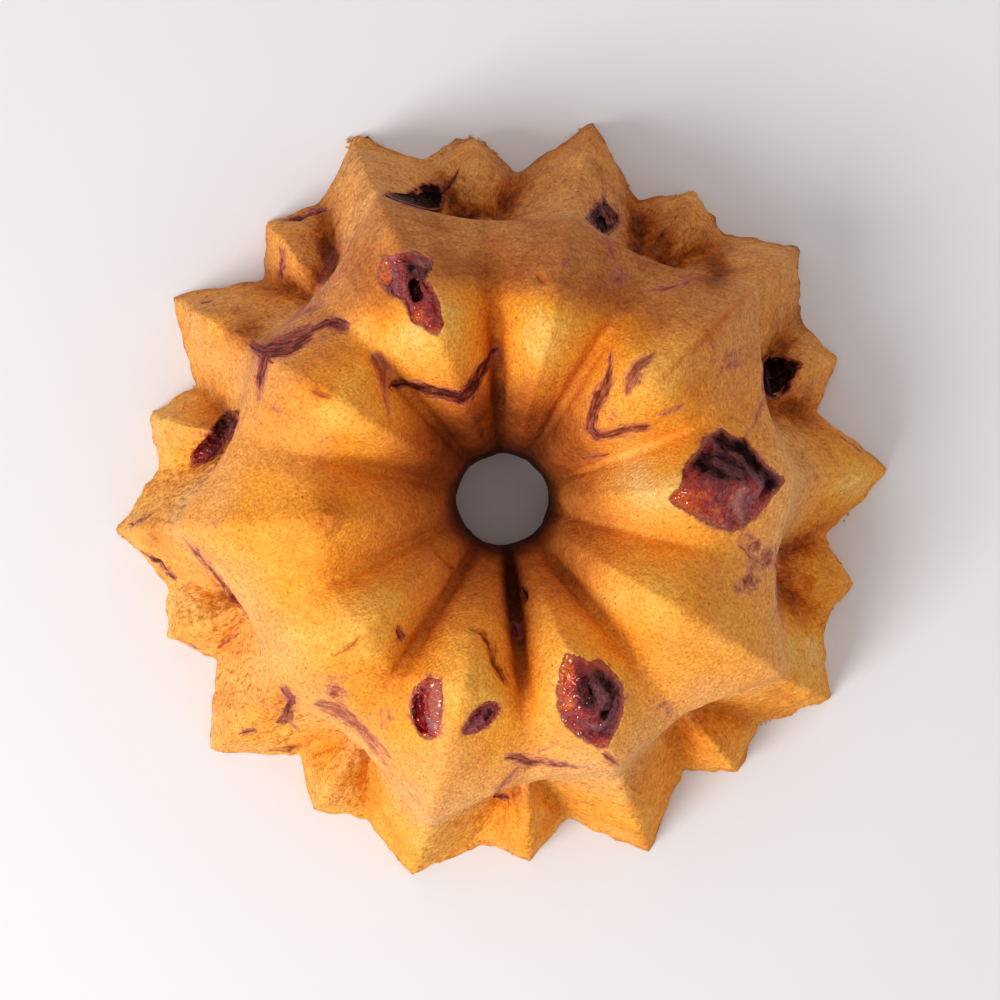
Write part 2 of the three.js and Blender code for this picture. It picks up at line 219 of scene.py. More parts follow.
# Berry juice cooked into the crumb: depth of colour from 0 to 1, and route.
BERRY_STREAKS = {
    "bent_band": (1.0, ((396, 384, 1.3), (420, 387, 1.9), (445, 396, 2.0), (461, 400, 2.3), (470, 389, 1.9),
                         (481, 371, 2.0), (494, 352, 1.2))),
    "blot_by_groove": (0.5, ((376, 360, 2.4), (384, 371, 2.5), (388, 393, 1.3), (391, 424, 0.5))),
    "hook": (0.74, ((612, 354, 0.8), (610, 378, 1.9), (601, 397, 2.4), (593, 415, 2.2), (591, 429, 1.9),
                    (598, 435, 1.6), (614, 435, 1.6), (630, 431, 2.0), (646, 427, 1.2))),
    "hook_inner_arm": (0.62, ((652, 353, 1.2), (641, 362, 2.0), (633, 374, 2.3), (629, 391, 1.1))),
    "hook_inner_arm_dots": (0.7, ((643, 372, 0.7), (639, 384, 0.7))),
    "hook_fleck": (0.42, ((658, 414, 0.7), (670, 410, 1.3), (683, 405, 0.9))),
    "left_smudge": (0.78, ((256, 346, 2.0), (268, 352, 3.4), (288, 347, 3.6), (309, 338, 2.2))),
    "left_smudge_middle": (0.6, ((275, 340, 1.4), (291, 333, 2.2), (310, 327, 1.8))),
    "left_smudge_upper": (0.8, ((313, 330, 1.4), (329, 322, 2.2), (346, 326, 2.2))),
    "left_smudge_leg": (0.8, ((266, 357, 2.4), (263, 376, 2.0), (262, 401, 0.6))),
    "left_smudge_faint": (0.4, ((288, 320, 0.6), (309, 306, 1.5), (323, 302, 1.2))),
    "left_brow_line": (0.7, ((183, 538, 0.4), (197, 553, 1.2), (213, 571, 1.1), (229, 593, 1.2),
                             (250, 617, 0.4))),
    "lower_left_patch": (0.52, ((320, 705, 1.9), (336, 709, 2.7), (355, 722, 2.0), (371, 736, 1.5),
                                (390, 757, 0.8))),
    "lower_left_tail": (0.42, ((358, 729, 1.1), (374, 748, 1.5), (388, 768, 0.8))),
    "lower_left_wall": (0.75, ((284, 689, 1.2), (292, 700, 1.8), (288, 714, 2.0), (279, 723, 1.4))),
    "lower_left_wall_tail": (0.6, ((286, 718, 1.0), (298, 732, 0.7))),
    "lower_left_wall_end": (0.85, ((244, 734, 1.3), (254, 730, 0.9))),
    "bottom_patch": (0.72, ((510, 757, 1.6), (527, 760, 1.9), (546, 762, 1.2), (566, 765, 0.9),
                            (588, 770, 0.4))),
    "bottom_patch_upper": (0.45, ((540, 751, 0.8), (557, 746, 0.5))),
    "bottom_smear": (0.42, ((519, 769, 1.2), (510, 779, 1.5), (500, 788, 1.2))),
    "bottom_spot": (1.0, ((497, 796, 1.3), (507, 797, 1.3))),
    "bottom_right_spot": (0.7, ((608, 759, 1.3), (616, 765, 1.3))),
    "right_smear_line": (0.75, ((743, 547, 0.6), (751, 555, 0.8), (760, 560, 0.5))),
    "right_brow_line": (0.45, ((779, 545, 0.8), (778, 590, 1.0), (781, 622, 0.6))),
    "upper_right_band": (0.6, ((643, 290, 0.4), (664, 288, 1.1), (682, 284, 1.1), (694, 279, 0.5))),
    "line_above_top_berry": (0.75, ((604, 178, 0.4), (605, 204, 0.8))),
    "line_below_top_berry": (0.5, ((604, 234, 1.0), (613, 252, 0.9), (617, 268, 0.8), (611, 284, 0.5))),
    "contour_by_right_fruit": (0.5, ((767, 396, 1.1), (757, 414, 1.0), (747, 439, 0.6))),
    "fleck_above_right_fruit": (0.65, ((584, 459, 0.5), (596, 457, 1.1), (608, 456, 0.5))),
    "spot_lower_left_lobe": (0.95, ((399, 628, 0.9), (402, 636, 1.4))),
    "stub_left_tip": (0.75, ((281, 251, 1.0), (281, 277, 1.3))),
    "wall_line_top_left": (1.0, ((281, 220, 0.7), (302, 216, 1.2), (328, 210, 0.9))),
    "dash_left_top": (1.0, ((200, 303, 0.6), (213, 300, 0.7))),
    "wall_line_left": (1.0, ((142, 548, 0.6), (158, 561, 1.2), (175, 578, 0.9))),
    "wall_line_left_upper": (0.85, ((131, 524, 0.8), (151, 513, 0.5))),
    "wall_line_left_foot": (0.9, ((177, 639, 0.8), (196, 648, 0.7))),
    "wall_line_left_foot_two": (0.65, ((221, 646, 0.8), (237, 633, 0.9))),
    "brow_line_top_left": (0.45, ((344, 233, 0.5), (330, 262, 1.4), (315, 292, 0.7))),
    "brow_line_top_left_two": (0.35, ((352, 243, 0.4), (339, 268, 1.0), (322, 294, 0.5))),
    "red_bit_top": (0.85, ((442, 193, 1.0), (450, 186, 1.3), (458, 170, 0.8))),
    "wall_line_right": (0.7, ((842, 438, 0.5), (863, 453, 0.7))),
    "groove_hole": (1.0, ((522, 590, 1.2), (523, 600, 1.2))),
    "groove_hole_two": (1.0, ((517, 622, 0.9), (518, 632, 0.9))),
    "dot_upper_right": (0.45, ((567, 261, 0.7), (566, 269, 0.7))),
    "dot_left": (0.4, ((216, 522, 0.9), (217, 528, 0.9))),
    "dot_left_two": (0.4, ((276, 408, 0.9), (279, 414, 0.9))),
}

# Toasted lines and cracks, given in the same way.
TOASTED_LINES = {
    "crack_lower_lobe": (1.0, ((470, 628, 0.6), (483, 631, 1.1), (491, 641, 1.1), (499, 660, 1.7),
                               (506, 673, 1.6), (512, 684, 0.6))),
    "spot_upper_lobe": (0.75, ((540, 275, 1.1), (545, 283, 1.1))),
    "ridge_upper_right": (0.36, ((664, 378, 0.8), (706, 338, 1.9), (750, 293, 0.9))),
    "cut_upper_right": (1.0, ((704, 337, 0.6), (714, 332, 0.6))),
    "line_lower_left_lobe": (0.7, ((334, 656, 0.4), (347, 648, 1.0), (359, 636, 0.6))),
    "line_by_funnel": (0.65, ((435, 552, 0.6), (451, 567, 0.8))),
    "spots_left_lobe": (0.7, ((316, 391, 1.2), (328, 397, 1.4))),
    "crust_lower_left": (0.9, ((268, 753, 0.9), (302, 747, 0.8))),
    "crack_bottom": (0.8, ((627, 783, 0.6), (637, 791, 0.7))),
    "cuts_left_wall": (0.6, ((179, 590, 0.5), (190, 583, 0.7), (201, 588, 0.5))),
}

# Faint blushes of juice in the crumb: place in picture pixels, half width in millimetres, strength.
BLUSHES = {
    "by_right_fruit": (730, 362, 5.2, 0.36), "right_smear": (747, 583, 5.0, 0.46),
    "inside_hook": (610, 416, 3.8, 0.36), "right_smear_upper": (766, 560, 4.4, 0.42),
    "right_smear_top": (753, 538, 3.8, 0.36), "lower_left_grain": (336, 693, 5.2, 0.42),
    "lower_left_pink": (386, 718, 4.4, 0.38), "upper_right": (617, 277, 5.6, 0.32),
    "lower_right_brow": (664, 703, 4.6, 0.32), "left_smudge_around": (312, 334, 7.0, 0.3),
    "hook_around": (640, 372, 4.4, 0.34),
}

# Where the crumb is browner, or paler where the amount is below zero, given in the same way. These are
# partly real browning and partly painted shade and painted light, such as the shadow in the creases under
# the upper right lobe and the light on the tips to the east.
BROWNED_AND_SHADED_PATCHES = {
    "left_lobe": (316, 380, 9.0, -0.06), "left_lobe_middle": (322, 390, 3.5, 0.14),
    "crease_upper_right": (717, 271, 4.5, 0.4), "crease_top": (550, 222, 4.0, 0.06),
    "upper_lobe": (568, 300, 7.0, 0.04), "right_lobe": (690, 384, 5.0, 0.06),
    "top_knob": (478, 192, 7.0, -0.1),
    "upper_right_knob": (657, 232, 8.0, 0.2), "right_knob": (797, 582, 7.0, 0.08),
    "lower_right_knob": (693, 738, 6.0, 0.2), "bottom_knob": (512, 792, 4.0, 0.16),
    "lower_left_wall": (278, 703, 5.0, 0.26), "lower_left_wall_side": (225, 697, 3.5, 0.26),
    "left_wall": (156, 536, 4.0, 0.28), "top_left_knob": (318, 250, 5.5, -0.02),
    "left_knob": (205, 425, 5.0, 0.16), "left_knob_side": (150, 480, 5.0, 0.2),
    "lower_right_edge": (780, 700, 6.0, 0.14), "right_valley": (840, 520, 6.0, 0.1),
    "left_lobe_shade": (330, 512, 8.0, 0.24), "lower_right_lobe_gold": (738, 644, 8.0, -0.05),
    "lower_right_lobe_shade": (703, 598, 7.0, 0.12), "bottom_right_tip": (642, 772, 7.0, 0.1),
    "upper_left_valley": (250, 332, 7.0, 0.3), "left_smudge_pale": (362, 328, 5.0, -0.3),
    "upper_right_lobe_gold": (680, 350, 7.0, -0.14), "lower_left_brow_pale": (300, 642, 9.0, -0.14),
    "lower_left_groove": (396, 640, 5.0, 0.06),
    "upper_lobe_pale": (541, 335, 10.0, -0.14), "left_lobe_gold": (300, 545, 9.0, 0.06),
    "lower_lobe_pale": (455, 690, 6.0, -0.06),
    "top_left_lobe_pale": (400, 345, 8.0, -0.12), "right_lobe_pale": (640, 500, 11.0, -0.2),
    "right_groove_pale": (622, 472, 9.0, -0.26), "lower_right_groove_pale": (604, 602, 7.0, -0.14),
    "left_knob_pale": (190, 597, 6.0, -0.24), "lower_left_tip_pale": (238, 692, 8.0, -0.12),
    "right_tip_pale": (850, 482, 7.0, -0.24), "lower_right_tip_pale": (812, 650, 8.0, -0.2),
    "top_left_tip_pale": (428, 165, 7.0, -0.2), "bottom_tip_pale": (620, 800, 8.0, -0.06),
}

# Bubble holes and dents: place in picture pixels, half width and depth in millimetres.
DENTS = {
    "left_lobe": (325, 521, 1.3, 0.7), "left_lobe_inner": (384, 521, 1.2, 0.7),
    "upper_lobe": (566, 263, 1.1, 0.6), "upper_lobe_spot": (541, 279, 1.5, 0.6),
    "lower_left_spot": (402, 632, 1.4, 0.8), "upper_right_cut": (709, 334, 0.9, 0.6),
    "crack": (500, 664, 1.2, 0.5), "left_browning": (322, 393, 1.3, 0.5),
    "groove_hole": (522, 595, 1.5, 1.4), "groove_hole_two": (517, 627, 1.2, 1.0),
    "right_knob": (806, 580, 2.2, 2.0), "top_left_line": (302, 216, 1.2, 1.0),
    "left_top_dash": (205, 301, 1.0, 0.8), "left_wall_line": (160, 563, 1.4, 1.0),
    "bottom_right_spot": (613, 762, 1.3, 0.5),
}

# Where torn crust and crumbs cling to the base edge: place in picture pixels, how many, half width
# of the largest in millimetres, and how far the crust itself sticks out there, as a flap whose
# half width in millimetres is FLAP_WIDTH.
CRUMB_CLUMPS = {
    "top_left_flap": (368, 140, 14, 0.8, 3.6), "top_flap": (450, 142, 10, 0.7, 2.0),
    "top_flap_right": (488, 146, 12, 0.6, 2.2), "left_tip": (118, 532, 10, 0.5, 0.9),
    "right_tip": (876, 470, 10, 0.5, 1.2), "right_edge": (858, 500, 8, 0.5, 1.4),
    "lower_right_tip": (829, 694, 6, 0.5, 0.8), "lower_right_edge": (786, 720, 10, 0.5, 1.5),
    "bottom_right_knob": (733, 768, 6, 0.5, 0.8), "top_tip": (590, 128, 6, 0.5, 0.6),
}
FLAP_WIDTH = 3.8

# The crumbs: how many cling along the base edge and on the lower ridges, how many points of the
# edge a clump is spread over, the grid of one crumb, and the seed of the random draws.
EDGE_CRUMBS = 150
RIDGE_CRUMBS = 120
CLUMP_POINTS = 50
CRUMB_COLUMNS = 8
CRUMB_RINGS = 4
CRUMB_SEED = 41

# How deep the lower tier's coarse crumb, a berry streak and a crack are, in millimetres, and how
# many of the brow's level threads lie in one radian round the cake.
LOWER_RELIEF = 0.36
STREAK_DEPTH = 0.25
CRACK_DEPTH = 0.5
THREADS_PER_RADIAN = 9

# A fruit shell: its columns round, how many places each has from the middle to the rim and from
# there back beneath, and the rim as a share of the outline. Then how far under the crumb the
# deepest hole and, at the rim, the underside lie, and how far the underside bulges farther, in
# millimetres.
FRUIT_COLUMNS = 144
FRUIT_RINGS = 50
FRUIT_UNDER_RINGS = 8
FRUIT_RIM = 1.09
DEEPEST_HOLE = 4.0
UNDERSIDE_AT_RIM = 3.4
UNDERSIDE_BULGE = 1.6

# How many pixels round a place the crumb's height is averaged over, and how far the points are
# sought beyond the places asked for.
HEIGHT_BLUR = 2.8
HEIGHT_SEARCH = 10

# How finely a pocket's outline is sampled along each side and then round it, and over how many
# of those steps to either side it is blurred.
OUTLINE_SAMPLES = 24
OUTLINE_TURNS = 360
OUTLINE_BLUR = 3

# How brown the plain crumb is from 0 to 1, how far that wanders, how much paler the crests are, partly as
# painted light, and the most browning and painted shade there is under the brow. Then the half widths of a
# groove's painted shade and browning and of its slit, in millimetres, and the direction that faces away
# from the window, in radians.
CRUMB_BROWN = 0.08
BROWN_UNEVEN = 0.07
CREST_PALER = 0.12
LOWER_BROWN_AND_SHADE_LIMIT = 0.55
GROOVE_SHADE_AND_BROWN_WIDTH = 3.8
SLIT_WIDTH = 1.7
AWAY_FROM_WINDOW = 0.63

# Beyond this many millimetres from a mark's edge, its values are replaced by ones that show none.
# It is less than half the gap between most marks, as halfway between two the distance across
# changes sign, and a false line would show where it passes zero. Marks wander off their routes,
# and pocket edges off their outlines, by the other two lengths.
MARK_MARGIN = 1.0
NO_MARK = 9.0
MARK_WANDER = 0.7
POCKET_RAGGED = 0.35

# Each noise that is worked out here and not in a material: the width of its bumps in millimetres,
# its seed and its octaves.
NOISES = {
    "hole": (5, 61, 2), "wobble": (18, 3, 2), "crumb": (3.0, 11, 3), "lower_crumb": (2.4, 13, 2),
    "marks_east": (8, 51, 2), "marks_north": (8, 52, 2), "pocket_edge": (2.6, 33, 2),
    "browning_and_shade": (26, 5, 2), "brow": (18, 8, 2),
    "torn_fine": (2.2, 23, 2), "torn_wide": (5.5, 29, 2), "flaps": (1.8, 37, 2), "dented": (1.0, 7, 2),
    "fruit_tone": (4, 80, 2), "fruit_touches": (1.6, 90, 2), "fruit_lumps": (3.0, 40, 2),
    "fruit_bumps": (0.9, 60, 1), "fruit_edge": (1.4, 20, 2),
}

# The floor, in millimetres, the fill from all round, and the window, in metres, watts and degrees.
FLOOR_HALF = 1500.0
FLOOR_HEIGHT = -0.02
FLOOR_CELLS = 8
FILL_COLOUR = (1.0, 0.95, 0.9, 1.0)
FILL_STRENGTH = 0.6
WINDOW_COLOUR = (1.0, 0.96, 0.91)
WINDOW_POWER = 14.0
WINDOW_WIDTH = 0.7
WINDOW_DISTANCE = 1.5
WINDOW_AZIMUTH = 216.0
WINDOW_ELEVATION = 42.0


def linear(code, alpha=1.0):
    """An sRGB hex colour as linear RGBA: each channel goes through the sRGB curve backwards."""
    parts = [int(code[i:i + 2], 16) / 255 for i in (1, 3, 5)]
    return [c / 12.92 if c <= 0.04045 else ((c + 0.055) / 1.055) ** 2.4 for c in parts] + [alpha]


def smooth(low, high, x):
    """0 at low, 1 at high, and the S-curve 3t^2 - 2t^3 between them."""
    t = np.clip((x - low) / (high - low), 0, 1)
    return t * t * (3 - 2 * t)


def lattice(cells, seed):
    """A repeatable number from -1 to 1 for each whole-numbered cell: its three coordinates and
    the seed are multiplied by large odd numbers, mixed bit by bit and scaled."""
    x, y, z = (cells[..., i].astype(np.int64) for i in range(3))
    mixed = (x * 374761393 + y * 668265263 + z * 2147483647 + seed * 1274126177) & 0xFFFFFFFF
    mixed = ((mixed ^ (mixed >> 13)) * 1274126177) & 0xFFFFFFFF
    mixed = ((mixed ^ (mixed >> 16)) * 2246822519) & 0xFFFFFFFF
    return ((mixed ^ (mixed >> 15)) & 0xFFFFFF) / 0x7FFFFF - 1.0


def noise(points, kind, pocket=0):
    """Smooth noise from about -1 to 1, of a kind that NOISES names: lattice numbers blended along
    x, y and z with the S-curve, each octave at half the size and half the strength of the one
    before. A fruit pocket adds its number to the seed."""
    size, seed, octaves = NOISES[kind]
    total, strength = 0.0, 1.0
    for octave in range(octaves):
        scaled = points / (size / 2 ** octave)
        cell = np.floor(scaled)
        share = scaled - cell
        share = share * share * (3 - 2 * share)
        value = 0.0
        for corner in np.ndindex(2, 2, 2):
            corner = np.array(corner)
            weight = np.prod(np.where(corner == 1, share, 1 - share), axis=-1)
            value = value + weight * lattice(cell + corner, seed + pocket + 17 * octave)
        total = total + strength * value
        strength *= 0.5
    return total


def put_mesh(name, vertices, faces, shaded_smooth=True):
    """A new object in the scene from points in millimetres and a list of faces. The object sits at
    the origin, with its place in its mesh."""
    mesh = bpy.data.meshes.new(name)
    mesh.from_pydata((vertices * MM).tolist(), [], faces)
    mesh.polygons.foreach_set("use_smooth", np.full(len(mesh.polygons), shaded_smooth))
    mesh.update()
    piece = bpy.data.objects.new(name, mesh)
    bpy.context.scene.collection.objects.link(piece)
    return piece


def put_values(piece, name, values):
    """Stores a number, or a vector of three, for each vertex under a name that materials can read."""
    values = np.asarray(values, dtype=np.float32)
    is_vector = values.size == 3 * len(piece.data.vertices)
    layer = piece.data.attributes.new(name, "FLOAT_VECTOR" if is_vector else "FLOAT", "POINT")
    layer.data.foreach_set("vector" if is_vector else "value", values.ravel())


def ring_faces(columns, rings):
    """Faces of a grid that joins up with itself both ways, as a tyre does: cell (c, i) runs to
    columns c, c + 1 and rings i, i + 1, each counted round."""
    c, i = np.meshgrid(np.arange(columns), np.arange(rings), indexing="ij")
    d, j = (c + 1) % columns, (i + 1) % rings
    corners = [c * rings + i, c * rings + j, d * rings + j, d * rings + i]
    return np.stack(corners, axis=-1).reshape(-1, 4).tolist()


def cap_faces(columns, rings):
    """Faces of a closed lump: a grid that joins up round its columns, with the first and the last
    ring closed by fans to two poles, which follow the grid's points."""
    c, i = np.meshgrid(np.arange(columns), np.arange(rings - 1), indexing="ij")
    d = (c + 1) % columns
    sides = np.stack([c * rings + i, c * rings + i + 1, d * rings + i + 1, d * rings + i], axis=-1)
    c = np.arange(columns)
    d = (c + 1) % columns
    first_pole, last_pole = np.full(columns, columns * rings), np.full(columns, columns * rings + 1)
    first_fan = np.stack([first_pole, c * rings, d * rings], axis=-1)
    last_fan = np.stack([last_pole, d * rings + rings - 1, c * rings + rings - 1], axis=-1)
    return sides.reshape(-1, 4).tolist() + first_fan.tolist() + last_fan.tolist()


def normals_of(grid):
    """Unit normals of a grid closed both ways: the cross product of the differences between the
    two neighbours along each direction."""
    around = np.roll(grid, -1, 0) - np.roll(grid, 1, 0)
    along = np.roll(grid, -1, 1) - np.roll(grid, 1, 1)
    normal = np.cross(along, around)
    return normal / np.maximum(np.linalg.norm(normal, axis=-1, keepdims=True), 1e-9)


def in_picture(points):
    """Where points in millimetres show in the picture, in pixels. A point at height z appears
    h / (h - z) times as far from the foot of the camera, which hangs at height h."""
    swell = CAMERA_AT[2] / (CAMERA_AT[2] - points[..., 2])
    x = (points[..., 0] - CAMERA_AT[0]) * swell + CAMERA_AT[0]
    y = (points[..., 1] - CAMERA_AT[1]) * swell + CAMERA_AT[1]
    return PICTURE_ORIGIN[0] + x / PIXEL, PICTURE_ORIGIN[1] - y / PIXEL


def from_picture(px, py, height):
    """The point at a height in millimetres that shows at a pixel of the picture."""
    shrink = (CAMERA_AT[2] - height) / CAMERA_AT[2]
    x = ((px - PICTURE_ORIGIN[0]) * PIXEL - CAMERA_AT[0]) * shrink + CAMERA_AT[0]
    y = ((PICTURE_ORIGIN[1] - py) * PIXEL - CAMERA_AT[1]) * shrink + CAMERA_AT[1]
    return np.stack([x, y, height], axis=-1)


def on_cake(points):
    """Millimetres on the cake for one pixel of the picture, which is less the higher it lies."""
    return PIXEL * (CAMERA_AT[2] - points[..., 2]) / CAMERA_AT[2]


def from_spot(points, px, py):
    """Distance in millimetres, as seen from above, from points to a pixel of the picture."""
    x, y = in_picture(points)
    return np.hypot(x - px, y - py) * on_cake(points)


def from_route(points, route):
    """Where points lie by a route of straight runs, in millimetres as seen from above: how far
    within its edge, how far along it, and how far to its left or right. Each point belongs to the
    run within whose edge it lies farthest, the edge being the half width less the distance."""
    px, py = in_picture(points)
    scale = on_cake(points)
    within = np.full(px.shape, -np.inf)
    along, across = np.zeros(px.shape), np.zeros(px.shape)
    passed = 0.0
    for (ax, ay, first_half), (bx, by, last_half) in zip(route, route[1:]):
        length = math.hypot(bx - ax, by - ay)
        run = ((px - ax) * (bx - ax) + (py - ay) * (by - ay)) / length
        side = ((px - ax) * (by - ay) - (py - ay) * (bx - ax)) / length
        held = np.clip(run, 0, length)
        half = first_half + (last_half - first_half) * held / length
        here = half - np.hypot(side, run - held) * scale
        along = np.where(here > within, (passed + held) * scale, along)
        across = np.where(here > within, side * scale, across)
        within = np.maximum(here, within)
        passed += length
    return within, along, across


def mark_values(points, marks):
    """What the crumb's material needs to draw a set of marks finely: a vector of the distance
    along the nearest mark, the distance across it, and the reach, from which the distance across
    is taken to get how far within its edge a place lies; then its depth, and how far within."""
    shift = [noise(points, "marks_east"), noise(points, "marks_north"), np.zeros(points.shape[:-1])]
    points = points + MARK_WANDER * np.stack(shift, axis=-1)
    within = np.full(points.shape[:-1], -np.inf)
    along, across, depth = (np.zeros(points.shape[:-1]) for _ in range(3))
    for amount, route in marks.values():
        here, here_along, here_across = from_route(points, route)
        nearer = here > within
        along = np.where(nearer, here_along, along)
        across = np.where(nearer, here_across, across)
        depth = np.where(nearer, amount, depth)
        within = np.maximum(here, within)
    reach = within + np.abs(across)
    far = within < -MARK_MARGIN
    across = np.where(far, np.where(across < 0, -NO_MARK, NO_MARK), across)
    reach = np.where(far, -NO_MARK, reach)
    return np.stack([along, across, reach], axis=-1), depth, within


def patched(points, patches):
    """The sum of soft round patches, each its amount times a bell curve of the distance."""
    return sum(
        amount * np.exp(-(from_spot(points, px, py) / half) ** 2)
        for px, py, half, amount in patches.values()
    )


def spots(turn, radius, height, ridge_turn, side):
    """Points at an angle, radius and height, the radius swollen by two slow waves round the cake."""
    angle = np.radians(ridge_turn + side * turn)
    swell = 1 + SWELL_TWICE * np.sin(2 * angle + SWELL_TWICE_PHASE)
    swell = swell + SWELL_THRICE * np.sin(3 * angle + SWELL_THRICE_PHASE)
    radius, height = np.broadcast_arrays(np.asarray(radius, float) * swell, height)
    return np.stack([radius * np.cos(angle), radius * np.sin(angle), height], axis=-1)


def upper_tier(line, ridge_turn, side):
    """One key line from the hole to the brow: a quarter of a superellipse up to the crest, then
    a power curve that falls faster and faster to the brow."""
    turn, hole_radius, _ = line["hole"]
    _, crest_radius, crest_height = line["crest"]
    _, brow_radius, brow_height = line["brow"]
    angle = np.linspace(0, np.pi / 2, STEPS["funnel"] + 1)
    inward = np.maximum(np.cos(angle), 0) ** (2 / FUNNEL_ROUNDNESS)
    share = np.linspace(0, 1, STEPS["slope"] + 1)[1:]
    radius = np.concatenate([
        crest_radius - (crest_radius - hole_radius) * inward,
        crest_radius + (brow_radius - crest_radius) * share,
    ])
    height = np.concatenate([
        crest_height * np.sin(angle) ** (2 / FUNNEL_ROUNDNESS),
        crest_height - (crest_height - brow_height) * share ** SLOPE_ROUNDNESS,
    ])
    return spots(turn, radius, height, ridge_turn, side)


def key_loop(line, upper, ridge_turn, side):
    """The whole closed loop of a key line: its upper tier, then straight runs from station to
    station down to the base, and back to the hole under the cake."""
    runs = [upper]
    last = upper[-1]
    for station in ("foot", "middle", "shoulder", "base"):
        following = spots(*line[station], ridge_turn, side)
        share = np.linspace(0, 1, STEPS[station] + 1)[1:, None]
        runs.append(last + (following - last) * share)
        last = following
    share = np.linspace(0, 1, STEPS["under"] + 1)[1:-1, None]
    runs.append(last + (upper[0] - last) * share)
    return np.concatenate(runs)


def key_net():
    """The cake as a net of columns by rings by xyz. Nine key loops span each pair of lobes: five
    from the big ridge to the small one, and four back in mirror image to the next big ridge.
    Straight blends join them, and the ninth is left to the next pair, which starts with it."""
    columns = []
    shares = np.arange(COLUMNS_PER_INTERVAL)[:, None, None] / COLUMNS_PER_INTERVAL
    steps = [(step, False) for step in range(5)] + [(step, True) for step in reversed(range(4))]
    for pair in range(PAIRS):
        loops = []
        for step, mirrored in steps:
            ridge_turn = FIRST_BIG_LOBE + PAIR_TURN * (pair + mirrored)
            side = -1 if mirrored else 1
            big, groove, small = (
                upper_tier(line, ridge_turn, side) for line in (BIG_RIDGE, GROOVE, SMALL_RIDGE)
            )
            line, upper = [
                (BIG_RIDGE, big), (BIG_CREASE, (big + groove) / 2), (GROOVE, groove),
                (SMALL_CREASE, (groove + small) / 2), (SMALL_RIDGE, small),
            ][step]
            loops.append(key_loop(line, upper, ridge_turn, side))
        for first, second in zip(loops, loops[1:]):
            columns.append(first + (second - first) * shares)
    return np.concatenate(columns)


def ring_numbers():
    """The ring number of each station: crest, brow, foot, middle, shoulder and base."""
    return np.cumsum([STEPS[name] for name in ("funnel", "slope", "foot", "middle", "shoulder", "base")])


def ridge_share(columns):
    """1 on the columns of ridges, 0 on those of grooves, and even steps between them, so that the
    creases of the lower tier are at a half."""
    from_groove = np.arange(columns) % COLUMNS_PER_LOBE - COLUMNS_PER_FACET
    return np.abs(from_groove)[:, None] / COLUMNS_PER_FACET


def filled_out(net):
    """Rounds the lobes of the upper tier. At a share s of the way from ridge to groove, a facet
    rises by its depth times s(1 - s^(p - 1)), with p falling from the funnel's fullness to 1 at
    the brow, so the grooves stay narrow and the lobes are full."""
    crest, brow, *_ = ring_numbers()
    column = np.arange(len(net))
    groove = net[column // COLUMNS_PER_LOBE * COLUMNS_PER_LOBE + COLUMNS_PER_FACET, :, 2]
    nearest = (column + COLUMNS_PER_FACET) // COLUMNS_PER_LOBE * COLUMNS_PER_LOBE
    ridge = net[nearest % len(net), :, 2]
    ring = np.arange(net.shape[1])
    stations = [0, crest, (crest + brow) / 2, brow]
    power = np.interp(ring, stations, [FUNNEL_FULLNESS, FUNNEL_FULLNESS, SLOPE_FULLNESS, 1.0])
    left = 1 - ridge_share(len(net))
    net = net.copy()
    net[..., 2] += np.where(ring < brow, (ridge - groove) * left * (1 - left ** (power - 1 + 1e-9)), 0)
    return net


def broadened_knobs(net):
    """Rounds the small knobs under the grooves. At a share u of the way from a knob's crest to the
    crease beside it, the height above the crease becomes 1 - u^q of the crest's, q being the
    fullness, so the knob is broad on top. It fades in from the brow to the foot."""
    _, brow, foot, *_ = ring_numbers()
    column = np.arange(len(net))
    knob = column // COLUMNS_PER_LOBE * COLUMNS_PER_LOBE + COLUMNS_PER_FACET
    side = np.sign(column - knob)
    share = np.abs(column - knob)[:, None] / COLUMNS_PER_INTERVAL
    crease = (knob + side * COLUMNS_PER_INTERVAL) % len(net)
    above = net[knob, :, 2] - net[crease, :, 2]
    fade = smooth(brow, foot, np.arange(net.shape[1]))[None, :]
    raised = above * share * (1 - np.minimum(share, 1) ** (KNOB_FULLNESS - 1)) * fade
    net = net.copy()
    net[..., 2] += np.where(share < 1, raised, 0)
    return net


def softened(net):
    """Rounds ridges, grooves and edges: each pass moves every point towards the middle of its
    two neighbours, by a share that is large on the upper tier and small at the base edge."""
    crest, brow, foot, _, shoulder, base = ring_numbers()
    ring = np.arange(net.shape[1])
    stations = [0, crest, brow - 18, brow, foot, base]
    around = np.interp(ring, stations, [0.3, 0.24, 0.12, 0.09, 0.07, 0.03])[None, :, None]
    stations = [0, 4, 20, brow - 6, brow, brow + 6, shoulder, base - 3, base]
    along = np.interp(ring, stations, [0, 0.2, 0.24, 0.2, 0.24, 0.16, 0.12, 0.08, 0])
    along = np.where(ring > base, 0, along)[None, :, None]
    for _ in range(SOFTENING_PASSES):
        net = net + around * (np.roll(net, 1, 0) + np.roll(net, -1, 0) - 2 * net)
        net = net + along * (np.roll(net, 1, 1) + np.roll(net, -1, 1) - 2 * net)
    return net


def rounded_hole(net):
    """Draws the rings next to the hole towards a circle of its radius, made uneven by noise of a
    few tenths of a millimetre, by a share that falls from 1 at the hole to 0 at HOLE_RINGS."""
    ring = np.arange(net.shape[1])
    rings_from_hole = np.minimum(ring, net.shape[1] - ring)
    share = smooth(HOLE_RINGS, 0, rings_from_hole)[None, :]
    radius = np.hypot(net[..., 0], net[..., 1])
    wanted = radius + (HOLE_RADIUS - radius[:, :1]) + HOLE_UNEVEN * noise(net, "hole")
    net = net.copy()
    net[..., :2] *= (1 + share * (wanted / radius - 1))[..., None]
    return net


def plain_net():
    """The finished plain form of the cake, before the crumb's relief."""
    return rounded_hole(softened(broadened_knobs(filled_out(key_net()))))


